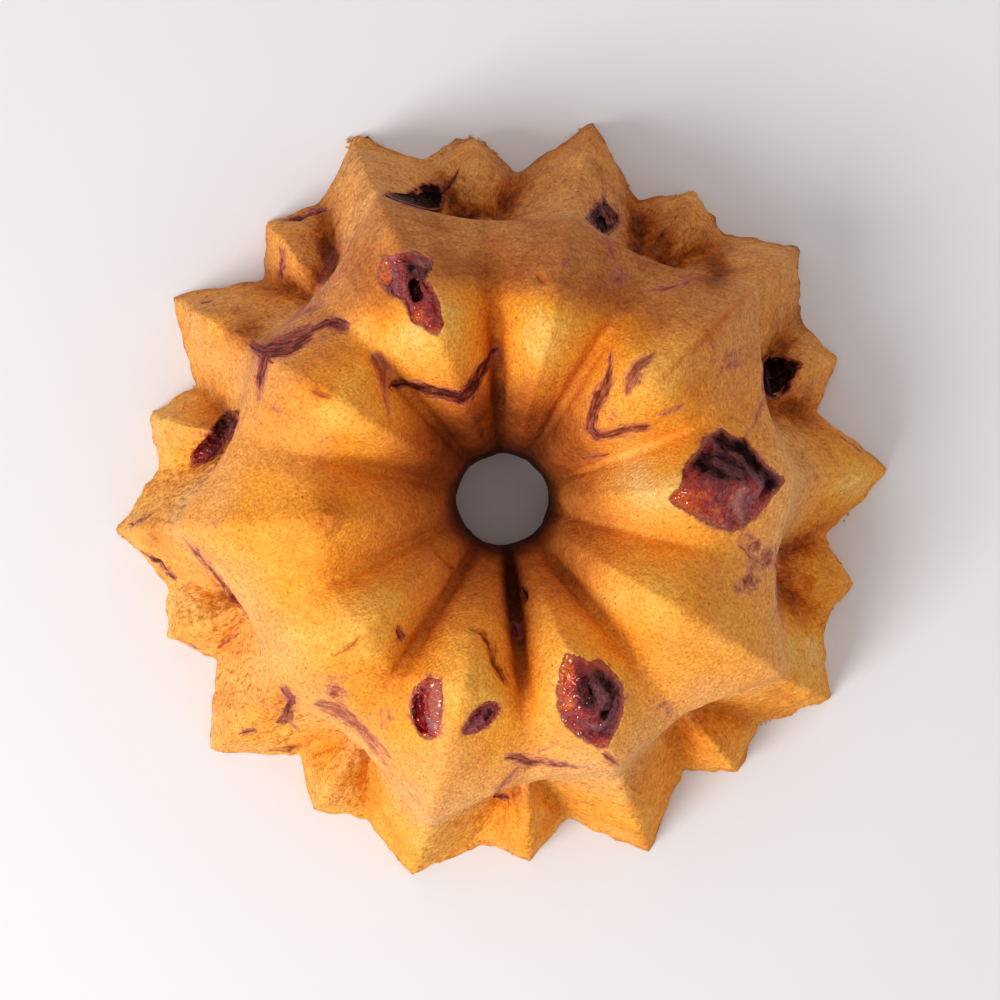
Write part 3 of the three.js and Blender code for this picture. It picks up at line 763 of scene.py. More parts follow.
def risen(points, sizes):
    """How far the risen crumb stands out from the plain form, in millimetres: slow noise for the
    wobble and finer noise for the coarse crumb."""
    return sizes.wobble / MM * noise(points, "wobble") + sizes.relief / MM * noise(points, "crumb")


def outline_radius(pocket, angle):
    """Distance in pixels from a pocket's middle to its outline at each angle. The outline's
    straight sides are sampled, turned into angles and distances, and blurred a little."""
    corners = np.array(pocket["outline"], float) - pocket["middle"]
    share = np.linspace(0, 1, OUTLINE_SAMPLES, endpoint=False)[:, None]
    sides = corners[:, None] + (np.roll(corners, -1, 0) - corners)[:, None] * share
    sides = sides.reshape(-1, 2)
    turns, radii = np.arctan2(-sides[:, 1], sides[:, 0]), np.hypot(sides[:, 0], sides[:, 1])
    order = np.argsort(turns)
    even = np.linspace(-np.pi, np.pi, OUTLINE_TURNS, endpoint=False)
    radii = np.interp(even, turns[order], radii[order], period=2 * np.pi)
    steps = range(-OUTLINE_BLUR, OUTLINE_BLUR + 1)
    radii = np.mean([np.roll(radii, step) for step in steps], axis=0)
    return np.interp(angle, even, radii, period=2 * np.pi)


def pocket_reach(points, pocket):
    """Distance in millimetres, as seen from above, to a pocket's outline, negative inside: the
    distance from its middle less the outline's at that angle, with a ragged edge from noise."""
    px, py = in_picture(points)
    dx, dy = px - pocket["middle"][0], pocket["middle"][1] - py
    out = np.hypot(dx, dy) - outline_radius(pocket, np.arctan2(dy, dx))
    return out * on_cake(points) + POCKET_RAGGED * noise(points, "pocket_edge")


def add(tree, kind, settings=None, links=None):
    """Adds one node. A setting goes to the input of that name or number, or else to the node's own
    property, and "stops" are a colour ramp's places and colours. A link joins the input of that
    name or number to a socket, or to the first output in use of a node."""
    node = tree.nodes.new(kind)
    for key, value in (settings or {}).items():
        if key == "stops":
            while len(node.color_ramp.elements) < len(value):
                node.color_ramp.elements.new(1.0)
            for element, (place, colour) in zip(node.color_ramp.elements, value):
                element.position = place
                element.color = colour
        elif isinstance(key, int) or key in node.inputs:
            node.inputs[key].default_value = value
        else:
            setattr(node, key, value)
    for key, source in (links or {}).items():
        if isinstance(source, bpy.types.Node):
            source = next(socket for socket in source.outputs if socket.enabled)
        tree.links.new(source, node.inputs[key])
    return node


def blank_material(name):
    """A material with nodes and nothing but its output, its tree and that output."""
    material = bpy.data.materials.new(name)
    material.use_nodes = True
    material.node_tree.nodes.clear()
    return material, material.node_tree, material.node_tree.nodes.new("ShaderNodeOutputMaterial")


def waves(size):
    """The scale of a noise, in waves per metre, whose light and dark patches are each size mm wide."""
    return 1000 / (2 * size)


def spacing(size):
    """The scale of a cell texture, in cells per metre, whose cells lie size mm apart."""
    return 1000 / size


def sponge_material(colours):
    """Baked sponge as it comes out of a greased tin: golden and finely porous, browned and painted with
    shade in the funnel and the creases, painted paler on the crests and where it faces the window, tan
    along the brow, with berry juice cooked into it. To the eye it is matt, sandy at 1 mm and cloudy at 5
    mm, and juice lies in ragged threads with pinkish borders."""
    material, tree, output = blank_material("baked sponge crumb")
    place = add(tree, "ShaderNodeTexCoord").outputs["Object"]
    # Two cloudy noises, the fine grain and the pits. Sponge cells are 0.3 to 0.6 mm wide, and they
    # are drawn up to 1 mm wide, as finer ones vanish.
    patches, mottle, grain, lumps = (
        add(tree, "ShaderNodeTexNoise", {"Scale": waves(size), "Detail": detail, "Roughness": rough}, {
            "Vector": place,
        }) for size, detail, rough in ((4.5, 4.0, 0.6), (1.3, 3.0, 0.6), (0.5, 2.0, 0.7), (1.7, 1.5, 0.5))
    )
    cells, pores = (
        add(tree, "ShaderNodeTexVoronoi", {"Scale": spacing(size), "Randomness": 1.0}, {"Vector": place})
        for size in (1.0, 2.6)
    )
    # Level threads, as batter lies in a tin: long round the cake and about 1 mm across.
    level = add(tree, "ShaderNodeAttribute", {"attribute_name": "level_place"}).outputs["Vector"]
    threads = add(tree, "ShaderNodeTexNoise", {"Scale": 1.0, "Detail": 3.0, "Roughness": 0.6}, {
        "Vector": level,
    })
    browned, coarse, band, stain = (
        add(tree, "ShaderNodeAttribute", {"attribute_name": name}).outputs["Fac"]
        for name in ("browned", "coarse", "brow_band", "stain")
    )
    # Browning with painted light and shade: the stored amount and the two cloudy noises, which average 0.5
    # and so add 0.24.
    tone = add(tree, "ShaderNodeMath", {"operation": "MULTIPLY_ADD", 1: 0.26}, {0: patches, 2: browned})
    tone = add(tree, "ShaderNodeMath", {"operation": "MULTIPLY_ADD", 1: 0.22}, {0: mottle, 2: tone})
    # The lower tier's crumb is coarser, its colours vary more, and it is pitted 1 to 2 mm wide.
    varied = add(tree, "ShaderNodeMath", {"operation": "SUBTRACT", 1: 0.5}, {0: patches})
    varied = add(tree, "ShaderNodeMath", {"operation": "MULTIPLY"}, {0: varied, 1: coarse})
    tone = add(tree, "ShaderNodeMath", {"operation": "MULTIPLY_ADD", 1: 0.3}, {0: varied, 2: tone})
    crumb = add(tree, "ShaderNodeValToRGB", {"stops": (
        (0.0, [*colours.cream, 1]), (0.16, [*colours.pale, 1]), (0.30, [*colours.golden, 1]),
        (0.48, [*colours.amber, 1]), (0.66, [*colours.toasted, 1]), (0.84, [*colours.crust, 1]),
        (1.0, linear("#341604")),
    )}, {"Fac": tone})
    # The tan of the brow, with darker level creases where it lies.
    tan = add(tree, "ShaderNodeValToRGB", {"stops": (
        (0.15, linear("#edb880")), (0.42, [*colours.brow, 1]), (0.72, linear("#a96838")),
        (0.95, linear("#5a2c10")),
    )}, {"Fac": tone})
    band = add(tree, "ShaderNodeMath", {"operation": "MULTIPLY_ADD", 1: 0.5}, {0: patches, 2: band})
    band = add(tree, "ShaderNodeMapRange", {"From Min": 0.25, "From Max": 1.05, "To Max": 0.9}, {
        "Value": band,
    })
    crumb = add(tree, "ShaderNodeMix", {"data_type": "RGBA"}, {"Factor": band, "A": crumb, "B": tan})
    creases = add(tree, "ShaderNodeValToRGB", {"stops": (
        (0.36, [0.84, 0.78, 0.74, 1]), (0.48, [1, 1, 1, 1]),
    )}, {"Fac": threads})
    crumb = add(tree, "ShaderNodeMix", {"data_type": "RGBA", "blend_type": "MULTIPLY"}, {
        "Factor": band, "A": crumb, "B": creases,
    })
    # Faint stains: the stored strength, less where the two cloudy noises are dark.
    stain = add(tree, "ShaderNodeMath", {"operation": "MULTIPLY_ADD", 1: 1.1}, {0: patches, 2: stain})
    stain = add(tree, "ShaderNodeMath", {"operation": "MULTIPLY_ADD", 1: 1.0}, {0: mottle, 2: stain})
    stain = add(tree, "ShaderNodeMapRange", {"From Min": 1.34, "From Max": 2.2}, {"Value": stain})
    # Each kind of mark: how far within its edge, up to 1.2 mm so that its fibres still show in the
    # middle, made ragged by those fibres and by the grain, becomes a strength, and the ramp's alpha
    # is how much of its colour covers the crumb.
    marks = {
        "toasted": (
            (0.0, linear("#cf7a2a", 0.0)), (0.3, linear("#bb6420", 0.55)), (0.65, linear("#8c3d0e", 0.8)),
            (1.0, linear("#4a1a08", 0.92)),
        ),
        "berry": (
            (0.0, linear("#c6887a", 0.0)), (0.18, linear("#b67270", 0.36)), (0.4, linear("#964852", 0.72)),
            (0.7, linear("#621c28", 0.92)), (1.0, linear("#2e0a14", 0.96)),
        ),
    }
    for name, stops in marks.items():
        mark_place = add(tree, "ShaderNodeAttribute", {"attribute_name": name + "_place"}).outputs["Vector"]
        depth = add(tree, "ShaderNodeAttribute", {"attribute_name": name + "_depth"}).outputs["Fac"]
        ways = add(tree, "ShaderNodeSeparateXYZ", {}, {"Vector": mark_place})
        drawn_out = add(tree, "ShaderNodeVectorMath", {"operation": "MULTIPLY", 1: (0.22, 1.2, 0.0)}, {
            0: mark_place,
        })
        fibres = add(tree, "ShaderNodeTexNoise", {"Scale": 1.0, "Detail": 3.0, "Roughness": 0.65}, {
            "Vector": drawn_out.outputs["Vector"],
        })
        bent = add(tree, "ShaderNodeMath", {"operation": "MULTIPLY_ADD", 1: 1.6}, {
            0: mottle, 2: ways.outputs["Y"],
        })
        bent = add(tree, "ShaderNodeMath", {"operation": "SUBTRACT", 1: 0.8}, {0: bent})
        bent = add(tree, "ShaderNodeMath", {"operation": "ABSOLUTE"}, {0: bent})
        within = add(tree, "ShaderNodeMath", {"operation": "SUBTRACT"}, {0: ways.outputs["Z"], 1: bent})
        within = add(tree, "ShaderNodeMath", {"operation": "MINIMUM", 1: 1.2}, {0: within})
        within = add(tree, "ShaderNodeMath", {"operation": "MULTIPLY_ADD", 1: 4.4}, {0: fibres, 2: within})
        within = add(tree, "ShaderNodeMath", {"operation": "MULTIPLY_ADD", 1: 1.6}, {0: grain, 2: within})
        strength = add(tree, "ShaderNodeMapRange", {"From Min": 2.7, "From Max": 4.6}, {"Value": within})
        strength = add(tree, "ShaderNodeMath", {"operation": "MULTIPLY"}, {0: strength, 1: depth})
        if name == "berry":
            strength = add(tree, "ShaderNodeMath", {"operation": "MAXIMUM"}, {0: strength, 1: stain})
        colour = add(tree, "ShaderNodeValToRGB", {"stops": stops}, {"Fac": strength})
        crumb = add(tree, "ShaderNodeMix", {"data_type": "RGBA"}, {
            "Factor": colour.outputs["Alpha"], "A": crumb, "B": colour.outputs["Color"],
        })
    # The sandy grain, browner between the cells, and the few open pores, up to 0.8 mm wide.
    sand = ((0.32, [0.82, 0.73, 0.61, 1]), (0.5, [1, 1, 1, 1]), (0.68, [1.17, 1.21, 1.23, 1]))
    edges = ((0.25, [1.04, 1.04, 1.03, 1]), (0.8, [0.92, 0.87, 0.8, 1]))
    for stops, source in ((sand, grain), (edges, cells.outputs["Distance"])):
        tint = add(tree, "ShaderNodeValToRGB", {"stops": stops}, {"Fac": source})
        crumb = add(tree, "ShaderNodeMix", {"data_type": "RGBA", "blend_type": "MULTIPLY", "Factor": 1.0}, {
            "A": crumb, "B": tint,
        })
    chosen = add(tree, "ShaderNodeSeparateColor", {}, {"Color": pores.outputs["Color"]})
    wide = add(tree, "ShaderNodeMapRange", {"From Min": 0.6, "From Max": 1.0, "To Max": 0.16}, {
        "Value": chosen,
    })
    pore = add(tree, "ShaderNodeMath", {"operation": "LESS_THAN"}, {0: pores.outputs["Distance"], 1: wide})
    shaded = add(tree, "ShaderNodeMath", {"operation": "MULTIPLY", 1: 0.55}, {0: pore})
    crumb = add(tree, "ShaderNodeMix", {"data_type": "RGBA", "B": linear("#74390c")}, {
        "Factor": shaded, "A": crumb,
    })
    relief = add(tree, "ShaderNodeMath", {"operation": "MULTIPLY_ADD", 1: 0.6}, {0: grain, 2: patches})
    for height in (cells.outputs["Distance"], pore.outputs["Value"]):
        relief = add(tree, "ShaderNodeMath", {"operation": "MULTIPLY_ADD", 1: -0.5}, {0: height, 2: relief})
    fine = add(tree, "ShaderNodeBump", {"Strength": 0.6, "Distance": 0.0006}, {"Height": relief})
    bump = add(tree, "ShaderNodeBump", {"Distance": 0.0026}, {
        "Strength": coarse, "Height": lumps, "Normal": fine,
    })
    shader = add(tree, "ShaderNodeBsdfPrincipled", {
        "Roughness": 0.68, "IOR": 1.45, "Specular IOR Level": 0.3,
        "Subsurface Weight": 0.15, "Subsurface Radius": (0.0022, 0.0009, 0.0004), "Subsurface Scale": 1.0,
    }, {"Base Color": crumb, "Normal": bump})
    tree.links.new(shader.outputs["BSDF"], output.inputs["Surface"])
    return material


def fruit_material(colours):
    """Cooked berries in their thick juice: clotted crimson jelly, orange-red where it is thin and
    near-black in the holes, partly as painted shade, with folds of dull grey-mauve skin and rosy films of
    crumb. It is wet, so beads of juice on it catch small sharp lights, and its coat is weaker on dark
    flesh, as painted shade on the reflection."""
    material, tree, output = blank_material("cooked berry flesh")
    place = add(tree, "ShaderNodeTexCoord").outputs["Object"]
    clots = add(tree, "ShaderNodeTexNoise", {"Scale": waves(0.9), "Detail": 3.0, "Roughness": 0.6}, {
        "Vector": place,
    })
    seeds = add(tree, "ShaderNodeTexVoronoi", {"Scale": spacing(1.0), "Randomness": 0.9}, {
        "Vector": place,
    })
    deep = add(tree, "ShaderNodeAttribute", {"attribute_name": "deep"}).outputs["Fac"]
    tone = add(tree, "ShaderNodeMath", {"operation": "MULTIPLY_ADD", 1: 0.5, 2: -0.25}, {0: clots})
    tone = add(tree, "ShaderNodeMath", {"operation": "ADD"}, {0: tone, 1: deep})
    flesh = add(tree, "ShaderNodeValToRGB", {"stops": (
        (0.05, [*colours.jelly, 1]), (0.28, [*colours.juice, 1]), (0.48, linear("#80141e")),
        (0.70, [*colours.berry, 1]), (0.92, linear("#220406")),
    )}, {"Fac": tone})
    # Films of crumb and folds of skin lie on the flesh, and towards its edge it thins out into crumb
    # that is soaked with juice. Holes that the clots tear in each of them show what lies beneath.
    covers = {
        "film": (0.8, {"From Min": 0.7, "From Max": 1.5, "To Max": 0.85}, linear("#c67c68")),
        "skin": (1.0, {"From Min": 0.85, "From Max": 1.5, "To Max": 0.7}, [*colours.skin, 1]),
        "edge": (0.8, {"From Min": 0.7, "From Max": 1.4, "To Max": 0.9}, linear("#a85a34")),
    }
    for name, (torn, limits, colour) in covers.items():
        cover = add(tree, "ShaderNodeAttribute", {"attribute_name": name}).outputs["Fac"]
        cover = add(tree, "ShaderNodeMath", {"operation": "MULTIPLY_ADD", 1: torn}, {0: clots, 2: cover})
        cover = add(tree, "ShaderNodeMapRange", limits, {"Value": cover})
        flesh = add(tree, "ShaderNodeMix", {"data_type": "RGBA", "B": colour}, {
            "Factor": cover, "A": flesh,
        })
        if name == "skin":
            gloss = add(tree, "ShaderNodeMapRange", {"To Min": 0.24, "To Max": 0.5}, {"Value": cover})
    # The wet coat is whole on the jelly and weaker the darker the flesh, down to a trace in the dark holes:
    # painted shade on its reflection, as the holes mirror little but flesh.
    wet_coat_and_hole_shade = add(tree, "ShaderNodeMapRange", {
        "From Min": 0.35, "From Max": 0.85, "To Min": 1.0, "To Max": 0.12,
    }, {"Value": tone})
    relief = add(tree, "ShaderNodeMath", {"operation": "MULTIPLY_ADD", 1: -0.6}, {
        0: seeds.outputs["Distance"], 2: clots,
    })
    bump = add(tree, "ShaderNodeBump", {"Strength": 1.0, "Distance": 0.0016}, {"Height": relief})
    # The wet film is smoother than the flesh. It beads 1 mm wide, and each bead mirrors the window.
    beads = add(tree, "ShaderNodeTexNoise", {"Scale": waves(1.0), "Detail": 0.0}, {"Vector": place})
    beaded = add(tree, "ShaderNodeBump", {"Strength": 1.0, "Distance": 0.0018}, {"Height": beads})
    shader = add(tree, "ShaderNodeBsdfPrincipled", {
        "IOR": 1.4, "Specular IOR Level": 0.06, "Coat Roughness": 0.06, "Coat IOR": 1.65,
        "Subsurface Weight": 0.15, "Subsurface Radius": (0.004, 0.0008, 0.0004), "Subsurface Scale": 1.0,
    }, {
        "Base Color": flesh, "Roughness": gloss, "Coat Weight": wet_coat_and_hole_shade, "Normal": bump, "Coat Normal": beaded,
    })
    tree.links.new(shader.outputs["BSDF"], output.inputs["Surface"])
    return material


def loose_crumb_material(colours):
    """Crumbs that broke off the crust: the same sponge, a little more toasted and quite matt."""
    material, tree, output = blank_material("loose sponge crumbs")
    place = add(tree, "ShaderNodeTexCoord").outputs["Object"]
    patches = add(tree, "ShaderNodeTexNoise", {"Scale": waves(1.2), "Detail": 3.0, "Roughness": 0.7}, {
        "Vector": place,
    })
    crumb = add(tree, "ShaderNodeValToRGB", {"stops": (
        (0.34, linear("#deb47e")), (0.5, [*colours.brow, 1]), (0.66, [*colours.amber, 1]),
    )}, {"Fac": patches})
    bump = add(tree, "ShaderNodeBump", {"Strength": 0.6, "Distance": 0.0004}, {"Height": patches})
    shader = add(tree, "ShaderNodeBsdfPrincipled", {
        "Roughness": 0.9, "IOR": 1.45, "Specular IOR Level": 0.2,
    }, {"Base Color": crumb, "Normal": bump})
    tree.links.new(shader.outputs["BSDF"], output.inputs["Surface"])
    return material


def painted_board_material(colours):
    """A matt painted board: even pale grey-white with a barely visible mottle."""
    material, tree, output = blank_material("matt painted board")
    place = add(tree, "ShaderNodeTexCoord").outputs["Object"]
    mottle = add(tree, "ShaderNodeTexNoise", {"Scale": waves(60), "Detail": 2.0}, {"Vector": place})
    share = add(tree, "ShaderNodeMapRange", {"From Min": 0.3, "From Max": 0.7, "To Max": 0.04}, {
        "Value": mottle,
    })
    colour = add(tree, "ShaderNodeMix", {
        "data_type": "RGBA", "A": [*colours.board, 1], "B": linear("#d2d0d4"),
    }, {"Factor": share})
    shader = add(tree, "ShaderNodeBsdfPrincipled", {"Roughness": 0.7, "IOR": 1.45}, {"Base Color": colour})
    tree.links.new(shader.outputs["BSDF"], output.inputs["Surface"])
    return material


def size_setting(name, description, millimetres):
    """A length the user may change, with its default in millimetres."""
    return FloatProperty(
        name=name, description=description, default=millimetres * MM,
        unit="LENGTH", subtype="DISTANCE", precision=5,
    )


def colour_setting(name, description, code):
    """A colour the user may change, with its default from an sRGB hex value."""
    return FloatVectorProperty(
        name=name, description=description, default=linear(code)[:3], size=3, min=0, max=1, subtype="COLOR",
    )


class CakeSizes(bpy.types.PropertyGroup):
    """Sizes of the surface detail."""

    wobble: size_setting("Wobble", "Slow unevenness of the risen crumb", 0.55)
    relief: size_setting("Crumb relief", "Height of the coarse crumb", 0.22)
    ragged: size_setting("Ragged edge", "How far the base edge is torn in and out", 0.85)
    slit: size_setting("Groove slit", "How much deeper the middle of each groove is in the funnel", 1.5)
    pit: size_setting("Pit depth", "How deep the pits under the fruit go", 4.6)


class CakeColours(bpy.types.PropertyGroup):
    """Colours of the crumb, the fruit and the floor."""

    cream: colour_setting("Cream", "Crumb where it is palest", "#f0c682")
    pale: colour_setting("Pale", "Crumb on the crests", "#eab256")
    golden: colour_setting("Golden", "Crumb that is just baked through", "#eba33e")
    amber: colour_setting("Amber", "Most of the crumb", "#da8a2e")
    toasted: colour_setting("Toasted", "Browned crumb", "#b4641c")
    crust: colour_setting("Crust", "Darkest browning", "#73370e")
    brow: colour_setting("Brow", "Tan band along the brow", "#d99f66")
    berry: colour_setting("Berry", "Deep berry juice", "#480810")
    juice: colour_setting("Juice", "Red juice", "#a61e1c")
    jelly: colour_setting("Jelly", "Thin orange-red jelly", "#d2650f")
    skin: colour_setting("Skin", "Dull berry skin", "#86525a")
    board: colour_setting("Board", "The floor", "#dcdee6")


def browning_and_shade(net):
    """How brown the crumb is at each point, from 0 to 1, with painted light and painted shade in it. Slow
    noise; less round the crests of the lobes, partly as painted light; less where the lower tier faces the
    window, as painted light; more at the base; more to the north, away from the window, as painted shade;
    browner or paler in named patches, partly as painted shade and light; and then the most that any of five
    places adds, as painted shade over some real browning: the funnel, its bottom, the grooves, and the
    knobs and creases close under the brow."""
    crest, brow, foot, middle, _, base = ring_numbers()
    ring = np.arange(net.shape[1])[None, :]
    radius = np.hypot(net[..., 0], net[..., 1])
    angle = np.arctan2(net[..., 1], net[..., 0])
    ridge = ridge_share(len(net))
    from_groove = ridge * np.radians(PAIR_TURN / 4) * radius
    in_funnel = ring < crest
    # Partly painted light: the crests of the lobes are paler, as if lit.
    crown = np.exp(-((ring - crest) / 16) ** 2) * smooth(0.2, 0.7, ridge)
    shaded_side = 0.3 + 0.7 * smooth(-0.4, 0.5, np.sin(angle + 0.4))
    # The grooves get painted shade over some browning: dark to the north and the south, and faint to the
    # sides.
    groove_depth = np.interp(ring, [0, crest / 2, crest, crest + 16, brow], [0.62, 0.6, 0.28, 0.1, 0])
    groove_depth = groove_depth * (0.06 + 0.94 * np.sin(angle) ** 4) * (1 - 0.1 * np.sin(angle))
    # Painted shade on the knob tops and in the creases close under the brow, most on the side away from the
    # window.
    knob_top = np.interp(ring, [foot - 2, foot + 3, middle], [0, 1, 0]) * smooth(0.8, 0.2, ridge)
    crease = np.exp(-((ridge - 0.5) / 0.13) ** 2)
    crease = crease * np.interp(ring, [brow, foot, middle, base], [0.04, 0.36, 0.38, 0.1])
    # Painted shadow on the funnel's north wall, as the lobes on the window's side would shade it.
    north_wall = smooth(-0.2, 0.8, np.sin(angle))
    added = np.maximum.reduce([
        (0.2 + 0.28 * north_wall) * smooth(44, 22, radius) * in_funnel,
        0.55 * smooth(22, 14, radius) * in_funnel,
        groove_depth * np.exp(-(from_groove / GROOVE_SHADE_AND_BROWN_WIDTH) ** 2),
        0.36 * knob_top * shaded_side,
        crease * shaded_side,
    ])
    # Painted light: the lower tier is paler where it faces the window, and a little browner on its far
    # side.
    lit_side = smooth(0.3, -0.8, np.cos(angle - AWAY_FROM_WINDOW))
    lower = smooth(brow, foot + 6, ring) * (0.02 - 0.1 * lit_side) + 0.1 * smooth(base - 8, base, ring)
    # Painted shade: browner to the north, away from the window, most on the upper slope.
    north = np.interp(ring, [crest + 4, crest + 20, brow, foot, base], [0, 0.28, 0.26, 0.1, 0.1])
    north = north * smooth(0.1, 0.9, np.sin(angle))
    uneven = BROWN_UNEVEN * noise(net, "browning_and_shade") + patched(net, BROWNED_AND_SHADED_PATCHES)
    brown_and_shade = CRUMB_BROWN + uneven - CREST_PALER * crown + added + lower + north
    return np.where(ring > brow, np.minimum(brown_and_shade, LOWER_BROWN_AND_SHADE_LIMIT), brown_and_shade)


def brow_cover(net):
    """How far the tan of the brow covers each point: it grows down the slope to the brow, reaches higher on
    the north side, thins out below the brow, most to the south-east, and over slow noise, and lies in the
    funnel too. The tan is partly the crust's own colour and partly painted sheen of the steep band, and its
    higher reach on the north side, away from the window, is painted shade."""
    crest, brow, foot, middle, _, base = ring_numbers()
    ring = np.arange(net.shape[1])[None, :]
    angle = np.arctan2(net[..., 1], net[..., 0])
    # Painted shade: the tan reaches higher on the north side, away from the window.
    north = smooth(-0.1, 0.9, np.sin(angle + 0.2))
    stations = [crest + 6, brow - 20, brow - 6, brow + 4, foot, middle, base]
    slope = np.interp(ring, stations, [0, 0.2, 0.55, 0.7, 0.45, 0.22, 0.3])
    cover = slope + 0.35 * north * smooth(crest - 4, brow - 20, ring) + 0.25 * noise(net, "brow")
    cover = cover - 0.3 * smooth(foot, middle, ring) * smooth(0.0, 0.7, np.cos(angle + 0.87))
    funnel = 0.4 * smooth(crest - 6, crest - 34, ring)
    return np.where(ring <= base, cover * smooth(crest - 14, crest - 4, ring) + funnel, 0)


class CakeSponge(bpy.types.Operator):
    """The sponge itself, one closed surface over the net of key lines, with its pits"""

    bl_idname = "star_cake.sponge"
    bl_label = "Sponge"

    def execute(self, context):
        sizes, colours = context.scene.cake_sizes, context.scene.cake_colours
        net = plain_net()
        crest, brow, foot, _, _, base = ring_numbers()
        ring = np.arange(net.shape[1])[None, :]
        x, y, z = net[..., 0].copy(), net[..., 1].copy(), net[..., 2].copy()
        radius = np.hypot(x, y)
        seen = ring < base - 4
        # Distances and marks are taken from the plain form, before the crumb's relief is added.
        reaches = [np.where(seen, pocket_reach(net, pocket), NO_MARK) for pocket in POCKETS.values()]
        reach = np.min(reaches, axis=0)
        stains = [
            1 - np.clip(each, -1, NO_MARK) / (2 * pocket["stain"])
            for each, pocket in zip(reaches, POCKETS.values())
        ]
        halo = np.max(stains, axis=0)
        berry_place, berry_depth, berry_within = mark_values(net, BERRY_STREAKS)
        toasted_place, toasted_depth, toasted_within = mark_values(net, TOASTED_LINES)
        # Under the brow, the knobs and creases that are browned and painted with shade keep their warm
        # brown, and no tan covers them.
        brown_and_shade = browning_and_shade(net)
        values = {
            "browned": brown_and_shade,
            "brow_band": brow_cover(net) - 0.7 * smooth(0.3, 0.5, brown_and_shade) * (ring > brow),
            "berry_place": berry_place, "berry_depth": berry_depth * seen,
            "toasted_place": toasted_place, "toasted_depth": toasted_depth * seen,
            "stain": np.maximum(np.clip(halo, 0, 1.1) * 0.6, 1.3 * patched(net, BLUSHES)) * seen,
            "coarse": 0.12 + 0.8 * smooth(brow + 2, foot + 4, ring) + 0 * x,
            "level_place": np.stack([
                THREADS_PER_RADIAN * x / radius, THREADS_PER_RADIAN * y / radius, 0 * x + ring,
            ], axis=-1),
        }
        lower = smooth(brow + 2, foot + 6, ring)
        lift = risen(net, sizes) + LOWER_RELIEF * lower * noise(net, "lower_crumb")
        lift = lift - STREAK_DEPTH * smooth(-0.5, 0.8, berry_within) * (reach > 1)
        lift = lift - CRACK_DEPTH * smooth(-0.5, 0.6, toasted_within) * smooth(0.75, 1, toasted_depth)
        groove = np.exp(-(ridge_share(len(net)) * np.radians(PAIR_TURN / 4) * radius / SLIT_WIDTH) ** 2)
        deeper = np.interp(ring, [10, 26, crest, crest + 16], [0, 1, 0.7, 0]) * np.abs(y / radius)
        lift = lift - sizes.slit / MM * groove * deeper
        for px, py, half, depth in DENTS.values():
            lift = lift - depth * smooth(1.3, 0.3, from_spot(net, px, py) / half)
        net = net + normals_of(net) * (lift * smooth(0.0, 3.0, z) * (ring < base))[..., None]
        net[..., 2] = net[..., 2] - sizes.pit / MM * smooth(0.4, -2.2, reach)
        # The torn edge of the base moves in and out by noise, on the last few rings of the wall,
        # and sticks out farther where flaps of crust were torn.
        outward = np.stack([x, y, 0 * x], axis=-1) / radius[..., None]
        torn = sizes.ragged / MM * (0.6 * noise(net, "torn_fine") + noise(net, "torn_wide"))
        for px, py, _, _, far in CRUMB_CLUMPS.values():
            flap = np.exp(-(from_spot(net, px, py) / FLAP_WIDTH) ** 2)
            torn = torn + far * flap * (0.9 + 0.6 * noise(net, "flaps"))
        net = net + outward * (torn * smooth(base - 7, base, ring) * (ring <= base))[..., None]
        piece = put_mesh("sponge", net.reshape(-1, 3), ring_faces(*net.shape[:2]))
        for name, stored in values.items():
            put_values(piece, name, stored)
        piece.data.materials.append(sponge_material(colours))
        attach(piece, "root")
        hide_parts("cake")
        return {"FINISHED"}


def crumb_height(px, py, net):
    """Height of the sponge where it shows at each pixel: the mean height of the net's points near
    it, weighted by a bell curve of their distance in the picture."""
    points = net[:, :ring_numbers()[-1]].reshape(-1, 3)
    qx, qy = in_picture(points)
    middle_x, middle_y = px.mean(), py.mean()
    limit = np.hypot(px - middle_x, py - middle_y).max() + HEIGHT_SEARCH
    close = np.hypot(qx - middle_x, qy - middle_y) < limit
    qx, qy, z = qx[close], qy[close], points[close, 2]
    near = (px.ravel()[:, None] - qx[None]) ** 2 + (py.ravel()[:, None] - qy[None]) ** 2
    weight = np.exp(-near / (2 * HEIGHT_BLUR ** 2)) + 1e-12
    return ((weight * z[None]).sum(1) / weight.sum(1)).reshape(px.shape)


